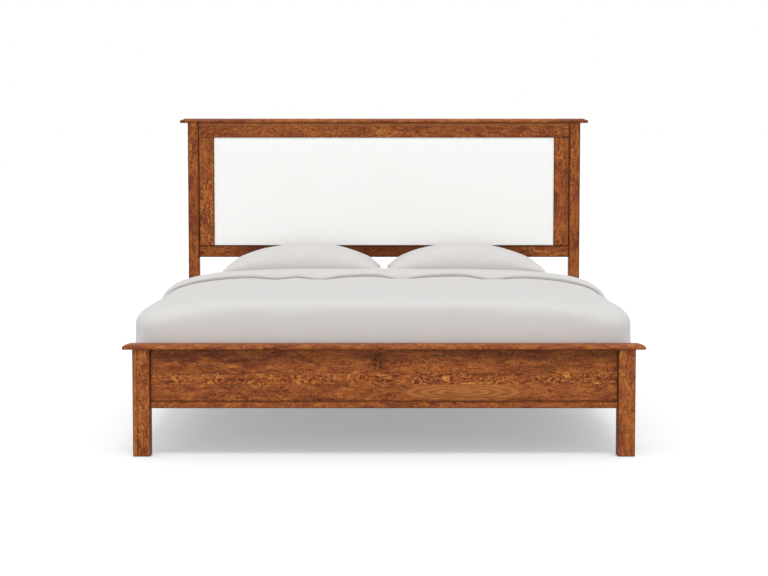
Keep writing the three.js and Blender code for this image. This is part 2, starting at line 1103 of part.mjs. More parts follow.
// A rounded rectangle about a middle, as a closed loop of points at one height.
function roundedLoop(halfX, halfY, radius, middleY, z) {
  const points = [];
  for (let corner = 0; corner < 4; corner++)
    for (let n = 0; n <= cornerSteps; n++) {
      const angle = ((corner + n / cornerSteps) * Math.PI) / 2;
      const cx = (corner === 0 || corner === 3 ? 1 : -1) * (halfX - radius);
      const cy = (corner < 2 ? 1 : -1) * (halfY - radius);
      points.push(
        new THREE.Vector3(
          cx + radius * Math.cos(angle),
          middleY + cy + radius * Math.sin(angle),
          z,
        ),
      );
    }
  return points;
}

// Walls between loops that run the same way round, closed by a fan at both ends.
function stacked(loops) {
  const polygons = [];
  const count = loops[0].length;
  for (let level = 0; level < loops.length - 1; level++)
    for (let n = 0; n < count; n++) {
      const next = (n + 1) % count;
      polygons.push([
        loops[level][n],
        loops[level][next],
        loops[level + 1][next],
        loops[level + 1][n],
      ]);
    }
  const middle = (loop) =>
    loop
      .reduce((sum, p) => sum.add(p), new THREE.Vector3())
      .divideScalar(loop.length);
  const bottom = loops[0];
  const top = loops[loops.length - 1];
  for (let n = 0; n < count; n++) {
    const next = (n + 1) % count;
    polygons.push([middle(bottom), bottom[next], bottom[n]]);
    polygons.push([middle(top), top[n], top[next]]);
  }
  return faceted(polygons);
}

function mattressPiece() {
  const middleY = (mattressFoot + mattressHead) / 2;
  const halfX = mattressHalf;
  const halfY = mattress.length / 2;
  const loop = (inset, z) =>
    roundedLoop(
      halfX - inset,
      halfY - inset,
      mattress.cornerRadius * (1 - inset / halfX),
      middleY,
      z,
    );
  const lower = mattress.lowerEdge;
  const loops = [
    loop(lower, mattressBottom),
    loop(lower / 3, mattressBottom + lower / 3),
    loop(0, mattressBottom + lower),
  ];
  for (let step = shoulderSteps; step >= 0; step--) {
    const { out, up } = shoulder(step, blunt.mattress);
    loops.push(
      loop(
        mattress.shoulderWidth * (1 - out),
        mattressTop - mattress.shoulderHeight * (1 - up),
      ),
    );
  }
  return stacked(loops);
}
add("mattress", mattressPiece(), "ticking");

// Duvet: two skins laid over the mattress, closed at the hem and at the folded head end

const duvetHead =
  mattressHead - pillow.clearOfHead - pillow.depth - pillow.clearOfDuvet;
const duvetFoot = footBack + cap.footBack + duvet.footSlack;
const duvetOuter = mattressHalf + duvet.sideStand;
const duvetHem = mattressBottom + duvet.hem;
const footSteps = 8;
const dropSteps = 4;
// Rows down each side: at the rounded head end, at the edge of the folded part, and on to the foot
const noseShares = [0, 1 / 3, 1];
const edgeShares = [-1 / 2, 0, 1 / 2];
const runShares = [0.25, 0.5, 0.75, 0.94, 1];
const sideRows = noseShares.length + 1 + edgeShares.length + runShares.length;

// Distances from the head end of the duvet to each row of points down its sides.
function rowDistances(runTo) {
  const edge = edgeShares.map((s) => turnDown.depth + s * turnDown.edge);
  const start = edge[edge.length - 1];
  return [
    ...noseShares.map((s) => s * duvet.nose),
    (duvet.nose + edge[0]) / 2,
    ...edge,
    ...runShares.map((s) => start + s * (runTo - start)),
  ];
}

// Plan points from the head end on the left, round the foot, to the head end on the right.
function plan(half, foot, radius) {
  const cornerY = foot + radius;
  const left = rowDistances(duvetHead - cornerY).map((d) => [
    -half,
    duvetHead - d,
  ]);
  for (let n = 1; n <= cornerSteps; n++) {
    const angle = ((n / cornerSteps) * Math.PI) / 2;
    left.push([
      -half + radius * (1 - Math.cos(angle)),
      cornerY - radius * Math.sin(angle),
    ]);
  }
  const end = [];
  for (let n = 1; n < footSteps; n++)
    end.push([(half - radius) * ((2 * n) / footSteps - 1), foot]);
  return [...left, ...end, ...left.map(([x, y]) => [-x, y]).reverse()];
}

// The hem hangs low, but at each corner by the foot it rises to pass over the side rail.
function hemHeight(n, count) {
  const fromEnd = Math.min(n, count - 1 - n);
  const overRail = fromEnd >= sideRows - 1 && fromEnd < sideRows - 1 + cornerSteps;
  return overRail ? railTop + duvet.railSlack : duvetHem;
}

// The outer face's section across the bed, which the folded part makes fuller.
function outerSection(y) {
  const distance = duvetHead - y;
  const past = (distance - turnDown.depth) / turnDown.edge + 1 / 2;
  const folded = 1 - THREE.MathUtils.smoothstep(past, 0, 1);
  const along = (y - duvetFoot) / (duvetHead - duvetFoot);
  const mix = (plain, fold) => THREE.MathUtils.lerp(plain, fold, folded);
  const half = duvetOuter + duvet.headSpread * along + turnDown.sideRise * folded;
  return {
    half,
    atRail: half,
    atHem: half + duvet.hemFlare,
    top: mattressTop + duvet.loft + turnDown.rise * folded,
    width: duvet.shoulderWidth,
    drop: mix(duvet.shoulderHeight, turnDown.shoulderHeight),
    squareness: mix(
      THREE.MathUtils.lerp(blunt.duvetFoot, blunt.duvetHead, along),
      blunt.turnDown,
    ),
  };
}

// The inner face's section, close over the mattress and outside the side rail.
function innerSection() {
  return {
    half: mattressHalf + duvet.footSlack,
    atRail: railOuter + duvet.railSlack,
    atHem: railOuter + duvet.railSlack,
    top: mattressTop + seatGap,
    width: mattress.shoulderWidth,
    drop: mattress.shoulderHeight,
    squareness: blunt.mattress,
  };
}

// One face of the duvet: rows of points from the middle, over the shoulder and down to the hem.
function face(half, foot, radius, section) {
  const outline = plan(half, foot, radius);
  const spineY = (y) => Math.max(y, foot + half);
  const rows = [
    outline.map(([, y]) => new THREE.Vector3(0, spineY(y), section(y).top)),
  ];
  for (let step = 0; step <= shoulderSteps; step++)
    rows.push(
      outline.map(([x, y]) => {
        const at = section(y);
        const { out, up } = shoulder(step, at.squareness);
        const reach = 1 - (at.width / at.half) * (1 - out);
        return new THREE.Vector3(
          (reach * x * at.half) / half,
          spineY(y) + reach * (y - spineY(y)),
          at.top - at.drop * (1 - up),
        );
      }),
    );
  for (let step = 1; step <= dropSteps; step++) {
    const share = step / dropSteps;
    rows.push(
      outline.map(([x, y], n) => {
        const at = section(y);
        const from = at.top - at.drop;
        const z = from + share * (hemHeight(n, outline.length) - from);
        const toRail = Math.min((from - z) / (from - railTop - duvet.railLead), 1);
        const sideways = THREE.MathUtils.clamp(
          (Math.abs(x) - half + radius) / radius,
          0,
          1,
        );
        const stand =
          (at.atRail - at.half) * toRail + (at.atHem - at.atRail) * share ** 2;
        return new THREE.Vector3(
          (x * at.half) / half + Math.sign(x) * sideways * stand,
          y,
          z,
        );
      }),
    );
  }
  return rows;
}

// The head end is rounded: there the outer face starts part of the way out from the inner one.
function roundHead(outer, inner) {
  const least = 1 / 3;
  outer.forEach((row, level) =>
    row.forEach((point, n) => {
      const share = Math.min((duvetHead - point.y) / duvet.nose, 1);
      const out = least + (1 - least) * Math.sqrt(share * (2 - share));
      point.lerpVectors(inner[level][n], point, out);
    }),
  );
}

function duvetPiece() {
  const outer = face(duvetOuter, duvetFoot, duvet.cornerRadius, outerSection);
  const inner = face(
    mattressHalf + duvet.footSlack,
    duvetFoot + duvet.footThickness,
    mattress.cornerRadius,
    innerSection,
  );
  roundHead(outer, inner);
  const polygons = [];
  const count = outer[0].length;
  const last = outer.length - 1;
  for (let level = 0; level < last; level++)
    for (let n = 0; n < count - 1; n++) {
      const quad = (rows) => [
        rows[level][n],
        rows[level + 1][n],
        rows[level + 1][n + 1],
        rows[level][n + 1],
      ];
      polygons.push(quad(outer), quad(inner).reverse());
    }
  for (let n = 0; n < count - 1; n++)
    polygons.push([
      outer[last][n],
      inner[last][n],
      inner[last][n + 1],
      outer[last][n + 1],
    ]);
  for (let level = 0; level < last; level++)
    for (const n of [0, count - 1]) {
      const wall = [
        outer[level][n],
        inner[level][n],
        inner[level + 1][n],
        outer[level + 1][n],
      ];
      polygons.push(n ? wall.reverse() : wall);
    }
  return faceted(polygons);
}
add("duvet", duvetPiece(), "cotton");

// Pillows: a crowned cushion whose sides are drawn in between its corners, flat where it rests

function pillowPiece(side) {
  const middleX = side * (pillow.fromMiddle + pillow.width / 2);
  const middleY = duvetHead + pillow.clearOfDuvet + pillow.depth / 2;
  const seam = mattressTop + seatGap + pillow.belowSeam;
  const columns = 24;
  const rows = 16;
  const plump = (place, fullness) =>
    Math.max(1 - Math.abs(place) ** pillow.edgePower, 0) ** fullness;
  const place = (i, j, up) => {
    const u = Math.sin(((2 * i) / columns - 1) * (Math.PI / 2));
    const v = Math.sin(((2 * j) / rows - 1) * (Math.PI / 2));
    const pinchX = 1 - pillow.pinchShare * (1 - v * v);
    const pinchY = 1 - pillow.pinchShare * (1 - u * u);
    const full = plump(u, pillow.sideFullness) * plump(v, pillow.endFullness);
    const drop = pillow.cornerDrop * Math.abs(u * v) ** pillow.dropPower;
    const rise = up
      ? pillow.aboveSeam * full
      : -pillow.belowSeam * full * pillow.baseSteepness;
    return new THREE.Vector3(
      middleX + (u * pinchX * pillow.width) / 2,
      middleY + (v * pinchY * pillow.depth) / 2,
      seam + Math.max(rise - drop, -pillow.belowSeam),
    );
  };
  const polygons = [];
  for (let i = 0; i < columns; i++)
    for (let j = 0; j < rows; j++) {
      const quad = (up) => [
        place(i, j, up),
        place(i + 1, j, up),
        place(i + 1, j + 1, up),
        place(i, j + 1, up),
      ];
      polygons.push(quad(true), quad(false).reverse());
    }
  return faceted(polygons);
}
for (const [name, side] of sides)
  add(`pillow_${name}`, pillowPiece(side), "cotton");

export default bed;
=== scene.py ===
"""A king-size bed in stained cherry with an upholstered headboard, made up with mattress, duvet and pillows.

Metres, +Z up, +Y towards the headboard, origin on the floor in the middle of the bed.
"""

import json
import math
from types import SimpleNamespace

import bmesh
import bpy
import numpy as np
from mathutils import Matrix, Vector, noise
from mathutils.bvhtree import BVHTree


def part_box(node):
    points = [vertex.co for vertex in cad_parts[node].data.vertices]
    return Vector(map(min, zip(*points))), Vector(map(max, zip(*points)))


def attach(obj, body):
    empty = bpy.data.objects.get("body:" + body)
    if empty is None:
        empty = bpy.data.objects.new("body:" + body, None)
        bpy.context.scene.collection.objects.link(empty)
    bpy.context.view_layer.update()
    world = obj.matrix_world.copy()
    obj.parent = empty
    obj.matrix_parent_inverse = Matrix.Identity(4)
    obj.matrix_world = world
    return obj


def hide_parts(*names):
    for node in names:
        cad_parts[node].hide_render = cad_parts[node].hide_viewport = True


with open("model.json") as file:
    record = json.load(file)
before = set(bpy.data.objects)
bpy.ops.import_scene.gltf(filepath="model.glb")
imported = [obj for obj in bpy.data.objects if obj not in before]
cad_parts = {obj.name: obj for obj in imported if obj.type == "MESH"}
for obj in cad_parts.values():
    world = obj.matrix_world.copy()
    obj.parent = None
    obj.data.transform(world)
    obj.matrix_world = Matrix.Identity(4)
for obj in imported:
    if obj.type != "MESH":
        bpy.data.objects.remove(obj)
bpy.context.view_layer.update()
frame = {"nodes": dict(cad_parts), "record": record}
nodes = frame["nodes"]


# Node trees

def linear(text):
    """A colour written as six hexadecimal digits, as linear values with alpha."""
    channels = [int(text[n : n + 2], 16) / 255 for n in (0, 2, 4)]
    return [c / 12.92 if c <= 0.04045 else ((c + 0.055) / 1.055) ** 2.4 for c in channels] + [1.0]


class Tree:
    """Adds nodes to a tree and links them, so that a material reads as a recipe."""

    def __init__(self, tree):
        self.tree = tree

    def plug(self, value, socket):
        if isinstance(value, bpy.types.NodeSocket):
            self.tree.links.new(value, socket)
        elif value is not None:
            socket.default_value = value

    def node(self, kind, inputs=None, **settings):
        made = self.tree.nodes.new(kind)
        for key, value in settings.items():
            setattr(made, key, value)
        for key, value in (inputs or {}).items():
            self.plug(value, made.inputs[key])
        return made

    def sums(self, operation, *values):
        return self.node("ShaderNodeMath", dict(enumerate(values)), operation=operation).outputs[0]

    def vector(self, operation, *values):
        made = self.node("ShaderNodeVectorMath", dict(enumerate(values)), operation=operation)
        return made.outputs["Value" if operation == "LENGTH" else "Vector"]

    def scaled(self, place, x, y, z):
        return self.vector("MULTIPLY", place, (x, y, z))

    def parts(self, place):
        return self.node("ShaderNodeSeparateXYZ", {0: place}).outputs

    def noise(self, place, scale, detail, rough=0.5, distortion=0.0, out="Fac"):
        """Noise at a place. Three scales in place of one draw it out along an axis."""
        if isinstance(scale, tuple):
            place, scale = self.scaled(place, *scale), 1.0
        inputs = {"Vector": place, "Scale": scale, "Detail": detail, "Roughness": rough,
                  "Distortion": distortion}
        return self.node("ShaderNodeTexNoise", inputs).outputs[out]

    def cells(self, place, scale, out="Distance"):
        return self.node("ShaderNodeTexVoronoi", {"Vector": place, "Scale": scale}).outputs[out]

    def span(self, value, low, high, start=0.0, end=1.0):
        inputs = {"Value": value, "From Min": low, "From Max": high, "To Min": start, "To Max": end}
        return self.node("ShaderNodeMapRange", inputs, interpolation_type="SMOOTHSTEP").outputs["Result"]

    def ramp(self, value, *stops):
        made = self.node("ShaderNodeValToRGB", {"Fac": value})
        band = made.color_ramp
        while len(band.elements) < len(stops):
            band.elements.new(0.5)
        for element, (place, colour) in zip(band.elements, stops):
            element.position = place
            element.color = linear(colour)
        return made.outputs["Color"]

    def mix(self, share, first, second):
        inputs = {0: share, 6: first, 7: linear(second) if isinstance(second, str) else second}
        return self.node("ShaderNodeMix", inputs, data_type="RGBA").outputs[2]

    def bump(self, height, distance, strength, normal=None):
        inputs = {"Height": height, "Distance": distance, "Strength": strength, "Normal": normal}
        return self.node("ShaderNodeBump", inputs).outputs["Normal"]

    def product(self, first, *others):
        for other in others:
            first = self.sums("MULTIPLY", first, other)
        return first

    def gap(self, value, place):
        return self.sums("ABSOLUTE", self.sums("SUBTRACT", value, place))

    def join(self, x=0.0, y=0.0, z=0.0):
        return self.node("ShaderNodeCombineXYZ", {0: x, 1: y, 2: z}).outputs[0]

    def stain(self, colour, dye, value, *bounds):
        """A colour with as much of a dye over it as the value's place between the bounds says."""
        return self.mix(self.span(value, *bounds), colour, dye)

    def shade(self, **sockets):
        """Links or sets sockets of a material's shader."""
        for key, value in sockets.items():
            self.plug(value, self.tree.nodes["Principled BSDF"].inputs[key.replace("_", " ")])


def node_group(name, kind, given, returned):
    """A group with named sockets, as its tree, what it is given and what it returns."""
    group = bpy.data.node_groups.new(name, kind)
    for way, sockets in (("INPUT", given), ("OUTPUT", returned)):
        for key, socket in sockets.items():
            group.interface.new_socket(key, in_out=way, socket_type="NodeSocket" + socket)
    ends = group.nodes.new("NodeGroupInput").outputs, group.nodes.new("NodeGroupOutput").inputs
    return Tree(group), *ends


def finish(name, **sockets):
    """A material and its tree."""
    material = bpy.data.materials.new(name)
    material.use_nodes = True
    tree = Tree(material.node_tree)
    tree.shade(**sockets)
    return material, tree


def own_place(tree):
    return tree.node("ShaderNodeTexCoord").outputs["Object"]


TURNS = {"x": (0, 0, 0), "y": (0, 0, math.pi / 2), "z": (0, math.pi / 2, 0)}


def along_grain(tree, place, grain, shift):
    """A place turned so that the grain runs along X, and shifted to another part of the tree."""
    inputs = {"Vector": place, "Location": shift, "Rotation": TURNS[grain]}
    return tree.node("ShaderNodeMapping", inputs).outputs[0]


# Objects and meshes

def placed(name, data):
    made = bpy.data.objects.new(name, data)
    bpy.context.scene.collection.objects.link(made)
    return made


def mesh_of(name, points, edges, faces):
    mesh = bpy.data.meshes.new(name)
    mesh.from_pydata(points, edges, faces)
    return mesh


def dress(mesh, material, rounded=True):
    mesh.materials.clear()
    mesh.materials.append(material)
    mesh.polygons.foreach_set("use_smooth", [rounded] * len(mesh.polygons))


def evaluated(piece):
    return piece.evaluated_get(bpy.context.evaluated_depsgraph_get())


# Stained cherry

def cherry_figure():
    """Colour and relief of stained, figured cherry whose grain runs along X."""
    tree, given, result = node_group("cherry figure", "ShaderNodeTree",
                                     {"Place": "Vector", "Figure": "Float", "Shade": "Float"},
                                     {"Color": "Color", "Height": "Float", "Tone": "Float"})
    place, figure, shade = given["Place"], given["Figure"], given["Shade"]

    # Streaks and fibres along the grain, and a mottle that hardly follows it
    streak = tree.noise(place, (6.0, 50.0, 50.0), 4.0, 0.62, 0.8)
    fibre = tree.noise(place, (16.0, 330.0, 330.0), 3.0, 0.6)
    mottle = tree.noise(place, (50.0, 92.0, 92.0), 4.0, 0.72, 1.2)
    waves = tree.noise(place, (17.0, 40.0, 40.0), 3.0, 0.6, 1.6)
    # Burl: rings of grain round small eyes, fading out between them
    bent = tree.noise(place, (40.0, 60.0, 60.0), 3.0, 0.55, out="Color")
    bent = tree.vector("ADD", tree.scaled(place, 21.0, 31.0, 31.0), tree.scaled(bent, 1.2, 1.2, 1.2))
    away = tree.cells(bent, 1.0)
    curl = tree.sums("COSINE", tree.product(away, 17.0))
    curl = tree.product(curl, tree.span(away, 0.35, 0.80, 0.5, 0.06), figure)

    grit = tree.noise(place, (190.0, 270.0, 270.0), 2.0, 0.6)
    tone = tree.product(curl, 0.16)
    for part, weight in ((streak, 0.17), (mottle, 0.27), (fibre, 0.09), (waves, 0.20), (grit, 0.27)):
        tone = tree.sums("MULTIPLY_ADD", part, weight, tone)
    levels = (0.365, 0.438, 0.50, 0.562, 0.66)
    golden = tree.ramp(tone, *zip(levels, ("4E2412", "7C401C", "A0592D", "B87036", "D89A50")))
    ruddy = tree.ramp(tone, *zip(levels, ("432011", "69351F", "8B4829", "A65C32", "C27C46")))
    hue = tree.noise(place, (8.0, 19.0, 19.0), 4.0, 0.65, 0.9)
    colour = tree.mix(tree.span(hue, 0.43, 0.58), golden, ruddy)
    # Stain that has soaked in deeper: dark blotches, deepened by painted shade from the Shade input, small
    # dark eyes and open pores
    cloud = tree.noise(place, (6.0, 19.0, 19.0), 4.0, 0.62, 0.9)
    cloud = tree.span(tree.sums("ADD", cloud, tree.product(shade, 0.22)), 0.53, 0.74, 0.0, 0.55)
    colour = tree.mix(cloud, colour, "4B2817")
    eyes = tree.noise(place, (22.0, 40.0, 40.0), 3.0, 0.6, 1.5)
    colour = tree.stain(colour, "3A1A0C", eyes, 0.65, 0.75, 0.0, 0.70)
    pores = tree.noise(place, (60.0, 900.0, 900.0), 2.0)
    pores = tree.span(pores, 0.58, 0.72, 0.0, 0.40)
    colour = tree.mix(pores, colour, "45200F")
    # Short golden flecks where the grain turns up to the surface
    flecks = tree.noise(place, (85.0, 360.0, 360.0), 2.0, 0.6)
    flecks = tree.product(tree.span(flecks, 0.60, 0.70), tree.span(waves, 0.47, 0.60))
    colour = tree.mix(tree.product(flecks, 0.55), colour, "E2AC5C")
    tree.plug(colour, result["Color"])
    height = tree.sums("MULTIPLY_ADD", pores, -0.8, tree.product(fibre, 0.5))
    tree.plug(tree.sums("ADD", height, curl), result["Height"])
    tree.plug(tone, result["Tone"])
    return tree.tree


def edge_distance():
    """How near a place is to an edge of the box between Low and High, in metres."""
    tree, given, result = node_group("distance to edge", "ShaderNodeTree",
                                     dict.fromkeys(("Place", "Low", "High"), "Vector"), {"Distance": "Float"})
    below = tree.vector("SUBTRACT", given["Place"], given["Low"])
    above = tree.vector("SUBTRACT", given["High"], given["Place"])
    x, y, z = tree.parts(tree.vector("ABSOLUTE", tree.vector("MINIMUM", below, above)))
    whole = tree.sums("ADD", tree.sums("ADD", x, y), z)
    most = tree.sums("MAXIMUM", tree.sums("MAXIMUM", x, y), z)
    tree.plug(tree.sums("SUBTRACT", whole, most), result["Distance"])
    return tree.tree


def shown_box(name):
    """A piece's box without the tenons that the posts, the cap and the strip hide."""
    low, high = (v.copy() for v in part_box(name))
    if "panel" in name or "rail" in name and "side" not in name:
        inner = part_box(name.split("_")[0] + "_post_right")[0].x
        low.x, high.x = -inner, inner
    if name == "footboard_panel":
        low.z, high.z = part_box("footboard_bottom_rail")[1].z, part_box("footboard_cap")[0].z
    return tuple(low), tuple(high)


def stained(name, groups, shift, grain, figure, tint):
    """Cherry for one piece of the frame, darker where stain gathers along its edges."""
    figure_group, edge_group = groups
    material, tree = finish("cherry " + name, Specular_IOR_Level=0.07)
    place = own_place(tree)
    turned = along_grain(tree, place, grain, shift)
    patches = tree.noise(turned, (3.0, 7.0, 7.0), 2.0)
    amount = tree.span(patches, 0.40, 0.60, figure * 0.2, figure)
    shade = None
    if name == "footboard_panel":
        turned, amount, shade = footboard_boards(tree, place, turned, amount)
    inputs = {"Place": turned, "Figure": amount, "Shade": shade}
    wood = tree.node("ShaderNodeGroup", inputs, node_tree=figure_group)
    low, high = shown_box(name)
    edge = tree.node("ShaderNodeGroup", {"Place": place, "Low": low, "High": high}, node_tree=edge_group)
    ragged = tree.noise(place, 90.0, 3.0, 0.6)
    near = tree.sums("MULTIPLY_ADD", ragged, -0.004, edge.outputs[0])
    narrow = "cap" in name or "footboard" in name or "top_rail" in name
    colour = tree.mix(abs(tint), wood.outputs["Color"], "4B2519" if tint > 0 else "C08040")
    colour = tree.stain(colour, "3A180B", near, -0.002, 0.003 if narrow else 0.0055, 0.85, 0.0)
    dents = tree.bump(tree.noise(place, 22.0, 3.0, 0.6), 0.003, 0.4)
    tree.shade(Base_Color=marked(tree, name, place, colour, low, high),
               Roughness=tree.span(wood.outputs["Tone"], 0.3, 0.7, 0.50, 0.38),
               Normal=tree.bump(wood.outputs["Height"], 0.0004, 0.6, dents))
    return material


def marked(tree, name, place, colour, low, high):
    """The colour with the stain and wear, and the painted light and painted shade, that only this piece
    shows.
    """
    x, _, z = tree.parts(place)
    off_centre = tree.sums("ABSOLUTE", x)
    if name == "footboard_panel":
        colour = footboard_marks(tree, place, colour)
    if name == "headboard_top_rail":
        # Painted light: the top of the rail is lighter just under the cap, taking back the cap's shade
        colour = tree.stain(colour, "D08850", z, high[2] - 0.028, high[2] - 0.004, 0.0, 0.36)
    if name == "headboard_lower_rail":
        # Painted shade: the rail is darker across its middle, behind the pillows, with a painted shadow along
        # its top edge under the cushion
        colour = tree.stain(colour, "36140A", off_centre, 0.60, 0.84, 0.64, 0.0)
        colour = tree.stain(colour, "2A1109", z, high[2] - 0.014, high[2] - 0.004, 0.0, 0.60)
    if "footboard_post" in name:
        inner = min(abs(low[0]), abs(high[0]))
        # Painted shade on the post's inner side face and the front edge beside it, where the panel is set
        # back
        colour = tree.stain(colour, "3A180B", off_centre, inner + 0.0010, inner + 0.0030, 0.60, 0.0)
    if name == "footboard_post_left":
        line = -0.9965  # beside a lighter strip along the post's outer edge
        colour = tree.stain(colour, "C98A48", x, line - 0.0015, line + 0.0005, 0.22, 0.0)
        colour = tree.stain(colour, "43200F", tree.gap(x, line), 0.0008, 0.0030, 0.6, 0.0)
    return colour


SEAMS = (0.2933, 0.3368)  # heights at which the footboard panel's boards are glued


def footboard_boards(tree, place, turned, amount):
    """Three boards glued edge to edge: straight, curled, and dark at the top with painted shade under the
    cap.
    """
    height = tree.parts(place)["Z"]
    above = [tree.sums("GREATER_THAN", height, seam) for seam in SEAMS]
    count = tree.sums("ADD", *above)
    jump = tree.join(tree.product(count, 3.7), tree.product(count, 1.9))
    # The figure is drawn out in the highest and the lowest board, and curled in the middle one
    curled = tree.sums("SUBTRACT", *above)
    longer = tree.join(tree.sums("MULTIPLY_ADD", curled, 0.2, 0.8), 1.0, 1.0)
    turned = tree.vector("MULTIPLY", turned, longer)
    amount = tree.sums("MULTIPLY_ADD", curled, 0.75, amount)
    # Painted shade: the highest board's blotches grow darker up towards the cap, and also darker towards both
    # ends
    ends = tree.span(tree.sums("ABSOLUTE", tree.parts(place)["X"]), 0.25, 0.70, -0.2, 0.35)
    shade = tree.product(above[1], tree.sums("ADD", tree.span(height, 0.35, 0.43, 0.0, 0.2), ends))
    return tree.vector("ADD", turned, jump), amount, shade


def footboard_marks(tree, place, colour):
    """The glue lines, a flat-sawn eye in the lowest board, a small crack in the highest one and a painted
    shadow under the cap.
    """
    height = tree.parts(place)["Z"]
    wander = tree.scaled(tree.noise(place, 14.0, 3.0, out="Color"), 0.03, 0.0, 0.012)
    moved = tree.vector("ADD", place, wander)
    eye = tree.vector("SUBTRACT", moved, (0.332, -1.0585, 0.268))
    size = tree.vector("LENGTH", tree.scaled(eye, 1 / 0.26, 0.0, 1 / 0.034))
    lines = tree.sums("POWER", tree.sums("ABSOLUTE", tree.sums("SINE", tree.product(size, 13.0))), 3.0)
    within = tree.product(tree.span(size, 0.85, 1.15, 1.0, 0.0), tree.sums("LESS_THAN", height, SEAMS[0]))
    colour = tree.mix(tree.product(within, 0.38), colour, "9C5A2C")
    colour = tree.mix(tree.product(within, lines, 0.48), colour, "C4874A")
    # A crack with two broken branches wanders down the middle of the highest board
    bent = tree.noise(place, (30.0, 30.0, 62.0), 4.0, 0.65, out="Color")
    x = tree.parts(tree.vector("ADD", place, tree.scaled(bent, 0.055, 0.0, 0.0)))["X"]
    near = tree.sums("MINIMUM", *(tree.gap(x, branch) for branch in (-0.008, 0.014)))
    ends = tree.span(tree.gap(height, 0.385), 0.026, 0.042, 1.0, 0.0)
    broken = tree.span(tree.noise(place, (60.0, 1.0, 75.0), 3.0), 0.42, 0.54, 0.15, 1.0)
    core = tree.product(tree.span(near, 0.0015, 0.0070, 0.90, 0.0), ends, broken)
    colour = tree.mix(core, colour, "2F140A")
    colour = tree.mix(tree.product(tree.span(near, 0.006, 0.040, 0.40, 0.0), ends), colour, "4B2519")
    # Painted shadow under the cap, whose lower border drifts up and down
    drift = tree.noise(place, (5.0, 1.0, 26.0), 4.0, 0.65, 0.6)
    under = tree.span(tree.sums("MULTIPLY_ADD", drift, 0.08, height), 0.412, 0.450, 0.0, 0.36)
    colour = tree.mix(under, colour, "42281C")
    # Dark streaks that waver just above the strip
    low_part = tree.span(height, 0.226, 0.262, 1.0, 0.0)
    waver = tree.noise(place, (7.0, 1.0, 90.0), 3.0, 0.55, 1.2)
    colour = tree.mix(tree.product(low_part, tree.span(waver, 0.50, 0.60, 0.0, 0.5)), colour, "552A15")
    for seam in SEAMS:
        colour = tree.stain(colour, "4A2214", tree.gap(height, seam), 0.0004, 0.002, 0.25, 0.0)
    return colour


def pale_board(name, grain, shift, light, dark):
    material, tree = finish(name, Specular_IOR_Level=0.3)
    place = along_grain(tree, own_place(tree), grain, shift)
    drift = tree.scaled(tree.noise(place, (1.2, 4.0, 4.0), 2.0, out="Color"), 0.0, 0.1, 0.1)
    drifted = tree.vector("ADD", tree.scaled(place, 0.12, 1.0, 1.0), drift)
    inputs = {"Vector": drifted, "Scale": 26.0, "Distortion": 2.2, "Detail": 2.0}
    rings = tree.node("ShaderNodeTexWave", inputs, wave_type="RINGS", rings_direction="X").outputs["Fac"]
    fibre = tree.noise(place, (7.0, 240.0, 240.0), 3.0, 0.6)
    tone = tree.sums("MULTIPLY_ADD", rings, 0.45, tree.product(fibre, 0.55))
    tree.shade(Base_Color=tree.ramp(tone, (0.2, light), (0.85, dark)),
               Roughness=tree.span(fibre, 0.2, 0.8, 0.62, 0.78), Normal=tree.bump(fibre, 0.0002, 0.6))
    return material


# Cloth, foam, metal and plastic

def woven(name, light, dark, thread, crease=0.0):
    """Plain-woven cloth whose threads lie the given distance apart."""
    material, tree = finish(name, Roughness=0.9, Specular_IOR_Level=0.2)
    place = own_place(tree)
    turn = math.pi / thread
    x, y, z = (tree.sums("SINE", tree.product(part, turn)) for part in tree.parts(place))
    weave = tree.product(x, tree.sums("ADD", y, z))
    slub = tree.noise(tree.scaled(place, 1.0, 1.0, 4.0), 0.3 / thread, 3.0, 0.6)
    faded = tree.noise(place, 3.5, 3.0)
    shade = tree.sums("MULTIPLY_ADD", slub, 0.55, tree.product(faded, 0.45))
    normal = tree.bump(tree.sums("MULTIPLY_ADD", weave, 0.5, slub), thread * 0.35, 0.5)
    if crease:
        normal = tree.bump(tree.noise(place, 11.0, 4.0, 0.5, 0.6), crease, 0.5, normal)
    tree.shade(Base_Color=tree.ramp(shade, (0.3, dark), (0.7, light)), Normal=normal)
    return material


def speckled(name, scale, dark, light, relief, cells=False, **looks):
    """A plain material with fine specks, from noise or from cells."""
    material, tree = finish(name, **looks)
    place = own_place(tree)
    specks = tree.cells(place, scale) if cells else tree.noise(place, scale, 2.0)
    tree.shade(Base_Color=tree.ramp(specks, dark, light), Normal=tree.bump(specks, *relief))
    return material


def zinc_steel():
    material, tree = finish("zinc-plated steel", Metallic=1.0)
    spangle = tree.cells(own_place(tree), 160.0, "Color")
    tone = tree.node("ShaderNodeSeparateColor", {"Color": spangle}).outputs[0]
    tree.shade(Base_Color=tree.ramp(tone, (0.0, "96989B"), (1.0, "C0C2C5")),
               Roughness=tree.span(tone, 0.0, 1.0, 0.30, 0.46))
    return material


# Camera, light and floor

def place_camera():
    """The photograph's view: from the foot of the bed, a little lower than the headboard's top."""
    foot_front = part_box("footboard_post_left")[0].y
    distance, height, tilt = 7.211, 1.2155, math.atan(0.0735)
    focal_pixels, picture_width, sensor = 1800.0, 768.0, 36.0
    camera = placed("camera", bpy.data.cameras.new("camera"))
    camera.data.sensor_width = sensor
    camera.data.lens = focal_pixels / picture_width * sensor
    camera.location = (0.0, foot_front - distance, height)
    camera.rotation_euler = (math.pi / 2 - tilt, 0.0, 0.0)
    bpy.context.scene.camera = camera


def seen(tree):
    """1 where the camera, a reflection or a clear piece looks at a surface, 0 where light bounces off it."""
    path = tree.node("ShaderNodeLightPath").outputs
    either = tree.sums("MAXIMUM", path["Is Camera Ray"], path["Is Glossy Ray"])
    return tree.sums("MAXIMUM", either, path["Is Transmission Ray"])


